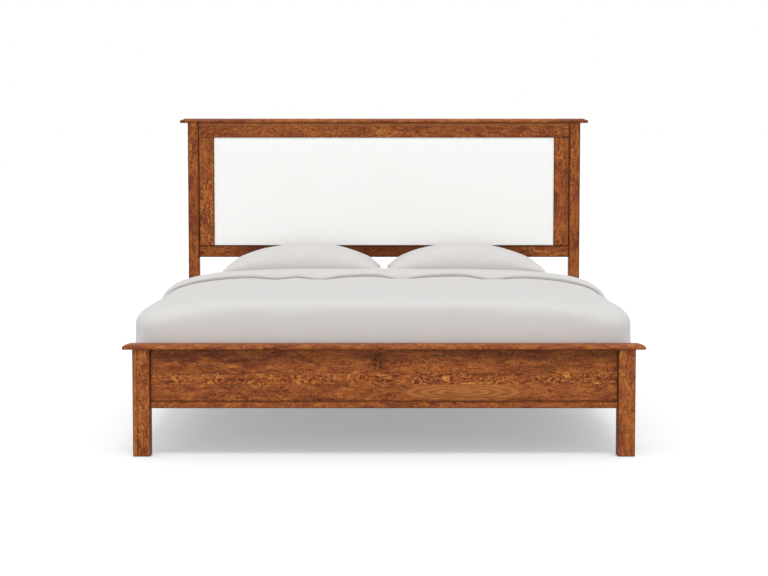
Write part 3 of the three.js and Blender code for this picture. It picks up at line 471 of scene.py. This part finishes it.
def light_studio():
    """An even pale dome, a broad lamp above the bed, two weak lamps in front and a white backdrop."""
    world = bpy.data.worlds.new("studio")
    world.use_nodes = True
    bpy.context.scene.world = world
    tree = Tree(world.node_tree)
    world.node_tree.nodes.clear()
    dome = 0.78
    strength = tree.sums("MAXIMUM", dome, seen(tree))
    backdrop = tree.node("ShaderNodeBackground", {"Color": (1.0, 1.0, 1.0, 1.0), "Strength": strength})
    tree.plug(backdrop.outputs[0], tree.node("ShaderNodeOutputWorld").inputs["Surface"])
    lamps = (("key lamp", 1.0, 18.0, (-0.03, 0.45, -1.0)), ("left lamp", 0.08, 60.0, (0.9, 0.4, -0.5)),
             ("front lamp", 0.27, 50.0, (0.0, 1.0, -0.15)))
    for name, energy, spread_degrees, direction in lamps:
        lamp = placed(name, bpy.data.lights.new(name, "SUN"))
        lamp.data.energy = energy
        lamp.data.angle = math.radians(spread_degrees)
        lamp.rotation_euler = Vector(direction).to_track_quat("-Z", "Y").to_euler()


def lay_floor():
    """A pale floor that shows as white where light falls on it and keeps the bed's shadow."""
    reach = 60.0
    corners = [(-reach, -reach, 0), (reach, -reach, 0), (reach, reach, 0), (-reach, reach, 0)]
    floor = placed("floor", mesh_of("floor", corners, [], [(0, 1, 2, 3)]))
    material, tree = finish("pale floor", Roughness=1.0, Specular_IOR_Level=0.0)
    bounced, looked_at = (0.76, 0.76, 0.76, 1.0), (0.725, 0.720, 0.710, 1.0)
    glow, glow_strength = (0.906, 0.955, 1.0, 1.0), 0.340
    look = seen(tree)
    tree.shade(Base_Color=tree.mix(look, bounced, looked_at), Emission_Color=glow,
               Emission_Strength=tree.product(look, glow_strength))
    floor.data.materials.append(material)


# Shapes made from grids of points

def smooth(value, low, high):
    """0 below the lower bound, 1 above the higher one and a soft rise between them."""
    share = np.clip((value - low) / (high - low), 0.0, 1.0)
    return share * share * (3 - 2 * share)


def skin(name, grids, body, material):
    """One closed piece from grids of points, whose edges meet and are merged."""
    points, faces = [], []
    for grid in grids:
        rows, columns = grid.shape[:2]
        start = len(points)
        points += [tuple(p) for p in grid.reshape(-1, 3)]
        corner = lambda r, c: start + r * columns + c
        faces += [(corner(r, c), corner(r, c + 1), corner(r + 1, c + 1), corner(r + 1, c))
                  for r in range(rows - 1) for c in range(columns - 1)]
    mesh = mesh_of(name, points, [], faces)
    sewn = bmesh.new()
    sewn.from_mesh(mesh)
    bmesh.ops.remove_doubles(sewn, verts=sewn.verts, dist=0.00005)
    bmesh.ops.recalc_face_normals(sewn, faces=sewn.faces)
    sewn.to_mesh(mesh)
    sewn.free()
    return fit_out(name, mesh, body, material)


def fit_out(name, mesh, body, material, rounded=True):
    piece = placed(name, mesh)
    dress(mesh, material, rounded)
    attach(piece, body)
    return piece


def outward(grid):
    """Unit normals of a grid of points."""
    normal = np.cross(np.gradient(grid, axis=0), np.gradient(grid, axis=1))
    length = np.linalg.norm(normal, axis=2, keepdims=True)
    return normal / np.maximum(length, 1e-9)


def to_edges(count):
    """Numbers from minus one to one that lie closer together towards both ends."""
    return np.sin(np.linspace(-1, 1, count) * math.pi / 2)


def rim(face):
    """The border of a grid, as a closed row of points."""
    return np.concatenate([face[0], face[1:, -1], face[-1, -2::-1], face[-2::-1, 0]])


def ripple(grid, size, seed):
    """Soft noise at each point, from about minus one to one."""
    shift = Vector((seed * 7.3, seed * 3.1, seed * 5.7))
    values = [noise.noise(Vector(p) / size + shift) for p in grid.reshape(-1, 3).tolist()]
    return np.array(values).reshape(grid.shape[:2])


def eased(steps, power):
    """Shares of a quarter turn, spaced so that points on a blunt curve lie about evenly."""
    share = np.linspace(0.0, 1.0, steps)
    return share**power / (share**power + (1 - share) ** power) * math.pi / 2


# What repeats: screws and stitches

def repeating(name, sizes):
    """A Geometry Nodes tree with named sizes and a seed."""
    given = {"Geometry": "Geometry", **dict.fromkeys(sizes, "Float"), "Seed": "Int", "Material": "Material"}
    return node_group(name, "GeometryNodeTree", given, {"Geometry": "Geometry"})


def chance(tree, given, least, most):
    inputs = {2: least, 3: most, "Seed": given["Seed"]}
    return tree.node("FunctionNodeRandomValue", inputs, data_type="FLOAT").outputs[1]


def facing_way(tree, way, axis):
    return tree.node("FunctionNodeAlignRotationToVector", {"Vector": way}, axis=axis).outputs["Rotation"]


def ended(tree, given, result, instances):
    whole = tree.node("GeometryNodeRealizeInstances", {"Geometry": instances}).outputs["Geometry"]
    inputs = {"Geometry": whole, "Material": given["Material"]}
    tree.plug(tree.node("GeometryNodeSetMaterial", inputs).outputs[0], result["Geometry"])
    return tree.tree


SCREW = {"Head radius": 0.0042, "Head depth": 0.0011, "Proud": 0.0002, "Recess length": 0.0050,
         "Recess width": 0.0010}
STITCH = {"Spacing": 0.0046, "Length": 0.0034, "Thickness": 0.0009}


def screws_at_points():
    """Countersunk cross-head screws, each facing the way its point says and turned at random."""
    tree, given, result = repeating("screws at points", SCREW)
    radius, depth = given["Head radius"], given["Head depth"]
    long, short = given["Recess length"], given["Recess width"]
    head = {"Vertices": 20, "Radius Top": radius, "Radius Bottom": tree.product(radius, 0.8), "Depth": depth}
    head = tree.node("GeometryNodeMeshCone", head).outputs["Mesh"]
    sunk = tree.join(z=tree.sums("SUBTRACT", given["Proud"], depth))
    head = tree.node("GeometryNodeTransform", {"Geometry": head, "Translation": sunk}).outputs[0]
    cut = tree.node("GeometryNodeMeshBoolean", {"Mesh 1": head}, operation="DIFFERENCE", solver="EXACT")
    for size in (tree.join(long, short, depth), tree.join(short, long, depth)):
        tree.plug(tree.node("GeometryNodeMeshCube", {"Size": size}).outputs["Mesh"], cut.inputs["Mesh 2"])
    way = tree.node("GeometryNodeInputNamedAttribute", {"Name": "facing"}, data_type="FLOAT_VECTOR")
    turn = facing_way(tree, way.outputs[0], "Z")
    inputs = {"Points": given["Geometry"], "Instance": cut.outputs["Mesh"], "Rotation": turn}
    instances = tree.node("GeometryNodeInstanceOnPoints", inputs).outputs["Instances"]
    inputs = {"Instances": instances, "Rotation": tree.join(z=chance(tree, given, 0.0, math.pi / 2))}
    return ended(tree, given, result, tree.node("GeometryNodeRotateInstances", inputs).outputs[0])


def stitches_on_lines():
    """Stitches laid end to end along lines of edges."""
    tree, given, result = repeating("stitches on lines", STITCH)
    line = tree.node("GeometryNodeMeshToCurve", {"Mesh": given["Geometry"]}).outputs["Curve"]
    line = tree.node("GeometryNodeResampleCurve", {"Curve": line, "Length": given["Spacing"]}, mode="LENGTH")
    thread = tree.node("GeometryNodeMeshUVSphere", {"Segments": 6, "Rings": 4, "Radius": 0.5}).outputs["Mesh"]
    size = tree.join(given["Length"], given["Thickness"], given["Thickness"])
    thread = tree.node("GeometryNodeTransform", {"Geometry": thread, "Scale": size}).outputs[0]
    along = tree.node("GeometryNodeInputTangent").outputs["Tangent"]
    inputs = {"Points": line.outputs["Curve"], "Instance": thread, "Rotation": facing_way(tree, along, "X"),
              "Scale": chance(tree, given, 0.9, 1.1)}
    return ended(tree, given, result, tree.node("GeometryNodeInstanceOnPoints", inputs).outputs["Instances"])


def repeated(name, group, sizes, seed, lines, body, material, facing=None):
    """A plain mesh made by a Geometry Nodes tree from points, or from lines of points."""
    points, edges = [], []
    for line in lines:
        if facing is None:
            edges += [(len(points) + n, len(points) + n + 1) for n in range(len(line) - 1)]
        points += [tuple(p) for p in line]
    mesh = mesh_of(name, points, edges, [])
    if facing is not None:
        mesh.attributes.new("facing", "FLOAT_VECTOR", "POINT").data.foreach_set("vector", np.ravel(facing))
    carrier = placed("carrier", mesh)
    modifier = carrier.modifiers.new("repeat", "NODES")
    modifier.node_group = group
    values = {**sizes, "Seed": seed, "Material": material}
    for item in group.interface.items_tree:
        if item.in_out == "INPUT" and item.name in values:
            modifier[item.identifier] = values[item.name]
    made = bpy.data.meshes.new_from_object(evaluated(carrier))
    bpy.data.objects.remove(carrier)
    return fit_out(name, made, body, material, rounded=facing is None)


def on_surface(piece, line, lift=0.0002):
    """A line of points brought on to a piece's finished surface."""
    surface = BVHTree.FromObject(piece, bpy.context.evaluated_depsgraph_get())
    nearest = (surface.find_nearest(Vector(point)) for point in line)
    return [place + normal * lift for place, normal, *_ in nearest]


def drive_screws(steel):
    """Two screws in each end of a slat, one over the beam, and rows along the ledgers and the stops."""
    up, back = (0, 0, 1), (0, 1, 0)
    in_ledger, off_middle, off_end = 0.016, 0.025, 0.06
    screws = []
    for n in range(1, 15):
        low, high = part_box(f"slat_{n:02d}")
        middle, side = (low.y + high.y) / 2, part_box("slat_ledger_right")[0].x + in_ledger
        screws += [((x, middle + y, high.z), up) for x in (-side, side) for y in (-off_middle, off_middle)]
        screws.append(((0, middle, high.z), up))
    low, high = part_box("slat_ledger_right")
    for y in np.linspace(low.y + off_end, high.y - off_end, 10):
        screws += [((side * low.x, y, (low.z + high.z) / 2), (-side, 0, 0)) for side in (-1, 1)]
    for stop, count in (("top", 8), ("bottom", 8), ("left", 3), ("right", 3)):
        low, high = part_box("panel_stop_" + stop)
        middle, span = (low + high) / 2, high - low
        for share in (np.arange(count) + 0.5) / count - 0.5:
            x, z = (share * span.x, 0) if count > 3 else (0, share * span.z)
            screws.append(((middle.x + x, high.y, middle.z + z), back))
    places, facing = zip(*screws)
    repeated("frame_screws", screws_at_points(), SCREW, 3, [places], "frame", steel, facing)


# Duvet

DUVET = SimpleNamespace(
    shoulder=0.800, shoulder_drop=0.140, fold_drop=0.205, fold_rise=0.024, fold_stand=0.032, loft=0.038,
    side_stand=0.059, head_spread=0.014, flare=0.006, corner=0.130, foot_thickness=0.020, nose=0.028,
    hem_roll=0.012, hem_over_rail=0.405, closer_right=0.008, fold_edge=0.295, before_fold=0.345,
    fold_waves=(-0.51, -0.31, 0.075, 0.50), nose_waves=(-0.50, -0.30, -0.175, 0.265, 0.46),
    wave_out=0.030, wave_down=0.0130, nose_down=0.0120,
)


def duvet_plan(distances, half, foot, radius, head, corner_steps, foot_steps):
    """The duvet's outline from above, from the head end on the left round the foot to the right."""
    angle = np.linspace(0, math.pi / 2, corner_steps + 1)[1:]
    x = np.concatenate([np.full(len(distances), -half), -half + radius * (1 - np.cos(angle))])
    y = np.concatenate([head - distances, foot + radius - radius * np.sin(angle)])
    across = np.linspace(-1, 1, foot_steps + 1)[1:-1] * (half - radius)
    return np.concatenate([x, across, -x[::-1]]), np.concatenate([y, np.full(len(across), foot), y[::-1]])


def duvet_face(x, y, half0, foot, radius, at, hem):
    """Rows of points from the middle of the bed, over the shoulder and down to the hem."""
    spine = np.maximum(y, foot + half0)
    wide = x * at.half / half0
    start = at.top - at.drop
    rows = []

    def over_the_top(reach, z):
        rows.append(np.stack([reach * wide, spine + reach * (y - spine), z + 0 * y], axis=1))

    for share in np.linspace(0, 1, 11)[:-1]:
        over_the_top(share * (1 - at.width / at.half), at.top)
    for turn in eased(38, 1.7):
        out, up = math.sin(turn) ** (2 / at.blunt), max(math.cos(turn), 0.0) ** (2 / at.blunt)
        over_the_top(1 - at.width / at.half * (1 - out), at.top - at.drop * (1 - up))
    sideways = np.clip((np.abs(x) - half0 + radius) / radius, 0, 1) * np.sign(x)
    rail_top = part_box("side_rail_left")[1].z
    for share in np.linspace(0, 1, 15)[1:]:
        z = start + share * (hem - start)
        to_rail = np.minimum((start - z) / (start - rail_top - 0.030), 1)
        stand = (at.at_rail - at.half) * to_rail + (at.at_hem - at.at_rail) * share**2
        rows.append(np.stack([wide + sideways * stand, y, z], axis=1))
    return np.array(rows)


def humps(values, width, *places):
    """A smooth hump of height one round each place."""
    return sum(np.exp(-(((values - place) / width) ** 2)) for place in places)


def make_duvet(cotton, sewing):
    at = DUVET
    low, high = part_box("duvet")
    mattress_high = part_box("mattress")[1]
    head, foot, hem_low = high.y, low.y, low.z
    mattress_half, mattress_top = mattress_high.x, mattress_high.z
    half = mattress_half + at.side_stand
    rail_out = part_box("side_rail_right")[1].x + 0.004

    # Rows along the bed: round the nose of the fold, over the folded part, into the crease and on to the foot
    nose = np.linspace(-math.pi / 2, math.pi / 2, 13)
    top = np.linspace(at.nose, 0.276, 16)[1:]
    lip = np.radians([90, 62, 34, 6, -22, -50, -74])
    crease = np.array([0.2960, 0.3000, 0.3070, 0.3190, 0.3360])
    run = np.linspace(crease[-1], head - foot - at.corner, 54)[1:]
    distance = np.concatenate([at.nose * (1 - np.cos(nose)), top, 0.290 + 0.014 * np.cos(lip), crease, run])
    folded = np.concatenate([0.80 + 0 * nose, 0.80 + 0.36 * np.sin(np.linspace(0, 0.82, 15) * math.pi),
                             0.43 + 0.50 * np.sin(lip), [-0.08, -0.14, -0.16, -0.09, 0.0], 0 * run])
    body = np.concatenate([(1 + np.sin(nose)) / 2, np.ones(len(distance) - len(nose))])
    corner_steps, foot_steps = 16, 84
    x, y = duvet_plan(distance, half, foot, at.corner, head, corner_steps, foot_steps)

    def both_sides(values, middle):
        return np.concatenate([values, np.full(len(x) - 2 * len(values), middle), values[::-1]])

    far = 9.0  # stands for the distance from the head end, along the foot
    folded, body, back = both_sides(folded, 0.0), both_sides(body, 1.0), both_sides(distance, far)
    along = (y - foot) / (head - foot)
    blunt = 3.4 - 0.4 * along + 5.0 * (back == far) * smooth(-np.abs(x), -0.97, -0.50)
    blunt += (3.3 - blunt) * folded
    width = half + at.head_spread * along + at.fold_stand * folded
    # It hangs a little closer on the right, towards the foot
    width -= at.closer_right * (1 - along) * smooth(x, 0.0, 0.5)
    drop = at.shoulder_drop + (at.fold_drop - at.shoulder_drop) * folded
    outer = SimpleNamespace(half=width, at_rail=width, at_hem=width + at.flare, blunt=blunt, drop=drop,
                            width=at.shoulder, top=mattress_top + at.loft + at.fold_rise * folded)
    # The hem hangs low, and rises where it passes over the side rails
    over_rail = smooth(foot - y, -0.2085, -0.1465) * smooth(np.abs(x), 0.894, 0.940)
    hem = hem_low + (at.hem_over_rail - hem_low) * over_rail + at.hem_roll
    face = duvet_face(x, y, half, foot, at.corner, outer, hem)

    # The inner face has its own, closer outline, with the same number of points
    inner_half, inner_foot, inner_corner = mattress_half + 0.002, foot + at.foot_thickness, 0.075
    travelled = np.concatenate([[0], np.cumsum(np.abs(np.diff(distance[len(nose) - 1 :])))])
    inner_run = at.nose + travelled / travelled[-1] * (head - inner_foot - inner_corner - at.nose)
    inner_distance = np.concatenate([at.nose * (1 - np.cos(nose)), inner_run[1:]])
    inner = SimpleNamespace(half=inner_half, at_rail=rail_out, at_hem=rail_out, drop=0.110, blunt=2.2,
                            width=0.200, top=mattress_top + 0.0003)
    plan = duvet_plan(inner_distance, inner_half, inner_foot, inner_corner, head, corner_steps, foot_steps)
    lining = duvet_face(*plan, inner_half, inner_foot, inner_corner, inner, hem)

    # Lie of the cloth: wide soft swells, slack below the shoulder and a wandering edge to the fold
    normal = outward(face)
    normal *= np.sign(normal[:8, :, 2].mean())
    px, py, pz = (face[..., n].copy() for n in range(3))
    free = np.clip(smooth(py, foot + 0.02, foot + 0.30) + smooth(pz, 0.56, 0.62), 0, 1)
    edge = humps(back, 0.06, at.fold_edge)
    hanging = smooth(-pz, -0.52, -0.36) * smooth(np.abs(px), 0.95, 1.02)
    slack = np.stack([px, py, pz * 0.25], axis=2)
    swell = 0.0050 * ripple(face, 0.42, 1) + 0.0022 * ripple(face, 0.13, 2)
    swell += hanging * (0.012 * ripple(slack, 0.16, 3) + 0.004 * ripple(slack, 0.06, 4))
    face += normal * (swell * free * (1 - 0.75 * edge))[..., None]
    flat = smooth(-np.abs(px), -0.75, -0.60)
    wave = humps(px, 0.085, *at.fold_waves) + flat * 0.35 * ripple(face, 0.20, 5)
    on_fold = humps(back, 0.050, at.fold_edge)
    before_fold = humps(back, 0.07, at.before_fold) * (back > 0.30) * smooth(-np.abs(px), -0.95, -0.80)
    by_nose = humps(back, 0.07, 0.0)
    face[..., 1] -= at.wave_out * (wave - 0.3) * on_fold
    face[..., 2] -= at.wave_down * (wave - 0.1) * (on_fold * (back < 0.312) + before_fold)
    face[..., 2] -= at.nose_down * (humps(px, 0.055, *at.nose_waves) - 0.2) * by_nose

    shell = lining + (face - lining) * body[None, :, None]
    turn = np.linspace(0, math.pi, 9)[1:]
    roll = shell[-1] + (lining[-1] - shell[-1]) * ((1 - np.cos(turn)) / 2)[:, None, None]
    roll[..., 2] -= at.hem_roll * np.sin(turn)[:, None] * body[None, :]
    first = len(nose) - 1
    inside = lining[:, first : len(x) - first].copy()
    inside[:, 0], inside[:, -1] = lining[:, 0], lining[:, -1]
    shell = np.concatenate([shell, roll])
    piece = skin("folded_duvet", [shell, inside], "duvet", cotton)
    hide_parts("duvet")
    # Two lines of stitches hold the hem
    sewn = [on_surface(piece, face[-row, first : len(x) - first]) for row in (2, 3)]
    repeated("duvet_hem_stitches", sewing[0], STITCH, 5, sewn, "duvet", sewing[1])


# Pillows

PILLOW = SimpleNamespace(above=0.113, below=0.048, pinch=0.012, side=(2.2, 0.96), end=(4.6, 0.40), base=2.2,
                         drop=0.016, drop_power=4, slack=0.004, swell=0.008, voxel=0.008, seam=0.006)


def inflate(mesh, voxel, cap, floor):
    """The mesh blown up a little as cloth, with no point moved further than the cap or below the floor."""
    scene = bpy.context.scene
    bag = placed("inflating", mesh)
    remesh = bag.modifiers.new("remesh", "REMESH")
    remesh.mode = "VOXEL"
    remesh.voxel_size = voxel
    even = bpy.data.meshes.new_from_object(evaluated(bag))
    bag.modifiers.clear()
    bag.data = even
    start = np.empty(len(even.vertices) * 3)
    even.vertices.foreach_get("co", start)
    cloth = bag.modifiers.new("cloth", "CLOTH")
    cloth.settings.use_pressure = True
    cloth.settings.uniform_pressure_force = 4.0
    cloth.settings.effector_weights.gravity = 0.0
    last = 20
    cloth.point_cache.frame_start, cloth.point_cache.frame_end = 1, last
    for moment in range(1, last + 1):
        scene.frame_set(moment)
    blown = evaluated(bag).to_mesh()
    end = np.empty(len(start))
    blown.vertices.foreach_get("co", end)
    scene.frame_set(1)
    moved = (end - start).reshape(-1, 3)
    length = np.maximum(np.linalg.norm(moved, axis=1, keepdims=True), 1e-9)
    place = start.reshape(-1, 3) + moved / length * cap * np.tanh(length / cap)
    place[:, 2] = np.maximum(place[:, 2], floor)
    bpy.data.objects.remove(bag)
    even.vertices.foreach_set("co", place.ravel())
    return even


def make_pillow(side, cotton, sewing):
    name = "pillow_left" if side < 0 else "pillow_right"
    low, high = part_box(name)
    middle = (low + high) / 2
    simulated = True
    slack = PILLOW.slack if simulated else 0.0
    width, depth = high.x - low.x + slack, high.y - low.y - slack
    u, v = to_edges(131)[None, :], to_edges(91)[:, None]

    def plump(place, edge, fullness):
        return np.maximum(1 - np.abs(place) ** edge, 0) ** fullness

    full = plump(u + 0.03 * side * (1 - u * u), *PILLOW.side) * plump(v, *PILLOW.end)
    drop = PILLOW.drop * np.abs(u * v) ** PILLOW.drop_power
    x = middle.x + u * (1 - PILLOW.pinch * (1 - v * v)) * width / 2
    y = middle.y + v * (1 - PILLOW.pinch * (1 - u * u)) * depth / 2
    # Short puckers run in from the seam and die out over the crown
    inward = np.minimum((1 - np.abs(u)) * width, (1 - np.abs(v)) * depth) / 2
    grids = []
    for up in (1, -1):
        most = (PILLOW.above if up > 0 else PILLOW.below) - slack - PILLOW.seam
        share = full if up > 0 else np.minimum(full * PILLOW.base, 1)
        place = np.stack([x, y, 0 * x + up * side], axis=2)
        pucker = 0.0040 * ripple(place, 0.035, 6) * np.exp(-inward / 0.05) * smooth(inward, 0.0, 0.02)
        swell = 0.0045 * ripple(place, 0.16, 7) * smooth(inward, 0.0, 0.06)
        z = low.z + PILLOW.below + up * (PILLOW.seam + most * share) - drop
        z = z + (pucker + swell if up > 0 else np.abs(pucker) * 0.3)
        grids.append(np.stack([x, y, np.maximum(z, low.z + slack)], axis=2))
    rims = [rim(grid) for grid in grids]
    grids.append(np.array(rims))
    piece = skin("plump_" + name, grids, name, cotton)
    if simulated:
        piece.data = inflate(piece.data, PILLOW.voxel, PILLOW.swell, low.z)
        dress(piece.data, cotton)
        finer = piece.modifiers.new("finer", "SUBSURF")
        finer.levels = finer.render_levels = 1
    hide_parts(name)
    # The seam round the edge, and the hem of the pillowcase's open outer end
    seam = (rims[0] + rims[1]) / 2
    column = 12 if side < 0 else -13
    hem = np.concatenate([grids[0][:, column], grids[1][::-1, column]])
    sewn = [on_surface(piece, line) for line in (seam, hem)]
    repeated(name + "_stitches", sewing[0], STITCH, 6, sewn, name, sewing[1])


# Mattress

def rounded_loop(half_x, half_y, radius, middle_y, z, corner_steps=10, side_steps=60):
    """A rectangle with round corners, as a closed list of points."""
    points = []
    for side_x, side_y, start in ((1, 1, 0), (-1, 1, 90), (-1, -1, 180), (1, -1, 270)):
        centre_x, centre_y = side_x * (half_x - radius), middle_y + side_y * (half_y - radius)
        for n in range(corner_steps + 1):
            angle = math.radians(start + 90 * n / corner_steps)
            x, y = centre_x + radius * math.cos(angle), centre_y + radius * math.sin(angle)
            points.append(np.array([x, y, z]))
    filled = []
    for n, point in enumerate(points):
        filled.append(point)
        if (n + 1) % (corner_steps + 1) == 0:
            following = points[(n + 1) % len(points)]
            filled += [point + (following - point) * s / side_steps for s in range(1, side_steps)]
    return np.array(filled + [filled[0]])


def make_mattress(ticking):
    low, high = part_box("mattress")
    middle = np.array([0, (low.y + high.y) / 2, 0])
    shoulder, drop, blunt, lower_edge, radius = 0.200, 0.110, 2.2, 0.024, 0.075
    turns = eased(26, 1.2)
    inset = list(shoulder * (1 - np.sin(turns) ** (2 / blunt)))
    height = list(high.z - drop * (1 - np.cos(turns).clip(0) ** (2 / blunt)))
    side = np.linspace(high.z - drop, low.z + lower_edge, 16)[1:]
    under = np.linspace(0, math.pi / 2, 7)[1:]
    inset += [0.0] * len(side) + list(lower_edge * (1 - np.cos(under)))
    height += list(side) + list(low.z + lower_edge * (1 - np.sin(under)))
    half_y = (high.y - low.y) / 2
    rows = [rounded_loop(high.x - s, half_y - s, radius * (1 - 0.6 * s / shoulder), middle[1], z)
            for s, z in zip(inset, height)]
    flat = np.array([1, 1, 0])
    over = [middle + (rows[0] - middle) * flat * t + (0, 0, high.z) for t in np.linspace(0, 1, 40)[:-1]]
    below = [middle + (rows[-1] - middle) * flat * t + (0, 0, low.z) for t in np.linspace(1, 0, 12)[1:]]
    grid = np.array(over + rows + below)
    # Quilting on the top, and a border with two taped edges and upright tufts
    x, y, z = (grid[..., n].copy() for n in range(3))
    quilt, tufts, quilt_depth, groove_depth, tuft_depth = 0.16, 0.11, 0.0045, 0.0030, 0.0020
    lines = np.minimum(*(np.abs(np.sin(way * math.pi / quilt)) for way in (x + y, x - y)))
    grid[..., 2] -= smooth(z, high.z - 0.05, high.z - 0.004) * quilt_depth * humps(lines, 0.16, 0.0)
    normal = outward(grid)
    normal *= np.sign(normal[:10, :, 2].mean())
    border = smooth(z, low.z + 0.03, low.z + 0.045) * smooth(-z, -high.z + 0.10, -high.z + 0.12)
    groove = humps(z, 0.003, high.z - 0.108, low.z + 0.030)
    tuft = border * humps(np.sin((x + y) * math.pi / tufts), 0.12, 0.0)
    grid -= normal * (groove_depth * groove + tuft_depth * tuft)[..., None]
    piece = skin("quilted_mattress", [grid], "mattress", ticking)
    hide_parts("mattress")


# Headboard cushion: cloth drawn over the foam, round the board and on to its back

def make_headboard_cushion(linen):
    low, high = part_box("headboard_panel_cover")
    opening_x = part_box("headboard_stile_right")[0].x
    opening = (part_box("headboard_lower_rail")[1].z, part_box("headboard_top_rail")[0].z)
    crown, crown_run, cloth, flange = 0.003, 0.070, 0.0012, 0.026
    middle_z, half_z = (high.z + low.z) / 2, (high.z - low.z) / 2
    u, v = to_edges(141)[None, :], to_edges(81)[:, None]

    def drawn_over(inset, behind):
        x = u * (high.x - inset) + 0 * v
        z = middle_z + v * (half_z - inset) + 0 * u
        inside = opening_x - np.abs(x), (opening[1] - opening[0]) / 2 - np.abs(z - sum(opening) / 2)
        swell = np.prod([np.sin(np.clip(part / crown_run, 0, 1) * math.pi / 2) for part in inside], axis=0)
        face = np.stack([x, low.y + crown + behind - crown * swell, z], axis=2)
        face[..., 1] += 0.0005 * ripple(np.stack([x, 0 * x, z], axis=2), 0.22, 8) * swell
        return face

    def set_back(loop, inset, y):
        bound_x, bound_z = high.x - inset, half_z - inset
        moved = loop.copy()
        moved[:, 0] = np.clip(loop[:, 0], -bound_x, bound_x)
        moved[:, 1] = y
        moved[:, 2] = middle_z + np.clip(loop[:, 2] - middle_z, -bound_z, bound_z)
        return moved

    outside, inside = drawn_over(0.0, 0.0), drawn_over(cloth, cloth)
    outer, inner = rim(outside), rim(inside)
    wrap = np.array([outer, set_back(outer, 0.0, high.y), set_back(outer, flange, high.y),
                     set_back(outer, flange, high.y - cloth), set_back(inner, cloth, high.y - cloth), inner])
    piece = skin("headboard_cushion", [outside, wrap, inside], "frame", linen)
    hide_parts("headboard_panel_cover")


# The whole bed

CHERRY = {  # grain direction, how figured such a piece is, and how much darker
    "footboard_post": ("z", 0.75, 0.0), "footboard_cap": ("x", 0.45, 0.0),
    "footboard_panel": ("x", 0.55, 0.0), "footboard_bottom_rail": ("x", 0.4, 0.0),
    "headboard_post": ("z", 0.7, 0.08), "headboard_cap": ("x", 0.35, 0.0),
    "headboard_stile": ("z", 0.95, 0.06), "headboard_top_rail": ("x", 0.8, 0.10),
    "headboard_lower_rail": ("x", 0.6, 0.18), "headboard_stretcher": ("x", 0.3, 0.0),
    "side_rail": ("y", 0.6, 0.0),
}
POPLAR_GRAIN = {"slat": "x", "panel_stop_top": "x", "panel_stop_bottom": "x", "panel_stop": "z",
                "slat_ledger": "y", "centre_beam": "y", "centre_leg": "z"}


def entry(table, name):
    """The table's entry for the longest beginning that it has of a name."""
    return table[max((key for key in table if name.startswith(key)), key=len)]


def finish_frame():
    rows = frame["record"]["subparts"]
    groups = (cherry_figure(), edge_distance())
    finishes = {}
    for n, name in enumerate(sorted(row["node"] for row in rows if row["material_slot"] == "cherry")):
        shift = (n * 1.37, n * 0.83, n * 0.59)
        finishes[name] = stained(name, groups, shift, *entry(CHERRY, name))
    poplar = {grain: [pale_board(f"poplar {grain}{n}", grain, (n * 2.3, n * 1.1, 0.4), "D9BF94", "BD9A68")
                      for n in range(3)] for grain in "xyz"}
    nylon = speckled("black nylon", 900.0, (0.3, "1E1E1F"), (0.7, "303032"), (0.0001, 0.5), Roughness=0.55)
    foam = speckled("cream foam", 700.0, (0.1, "CFC49E"), (0.6, "EBE2C4"), (0.0006, 0.6), cells=True,
                    Roughness=0.95)
    plain = {"steel": zinc_steel(), "nylon": nylon, "foam": foam,
             "plywood": pale_board("birch plywood", "x", (5.0, 2.0, 1.0), "D8BE90", "C2A06E")}
    for n, row in enumerate(rows):
        name, slot = row["node"], row["material_slot"]
        if slot == "poplar":
            finishes[name] = poplar[entry(POPLAR_GRAIN, name)][n % 3]
        elif slot in plain:
            finishes[name] = plain[slot]
    for name, material in finishes.items():
        nodes[name].material_slots[0].material = material
    drive_screws(plain["steel"])


def make_bed():
    make_headboard_cushion(woven("off-white linen", "FFFFFE", "FCFCFA", 0.0012))
    make_mattress(woven("mattress ticking", "EFEDE9", "E3E0DA", 0.0010))
    thread = speckled("cotton thread", 2600.0, (0.3, "CFCDCA"), (0.7, "E4E2DF"), (0.0002, 0.7),
                      Roughness=0.75, Specular_IOR_Level=0.25)
    sewing = (stitches_on_lines(), thread)
    make_duvet(woven("duvet cotton", "D7D5D3", "D2D0CE", 0.0006, 0.0030), sewing)
    pillow_cotton = woven("pillow cotton", "D6D4D2", "D0CDCB", 0.0006, 0.0020)
    for side in (-1, 1):
        make_pillow(side, pillow_cotton, sewing)


bpy.context.scene.view_settings.view_transform = "Standard"
place_camera()
light_studio()
lay_floor()
finish_frame()
make_bed()
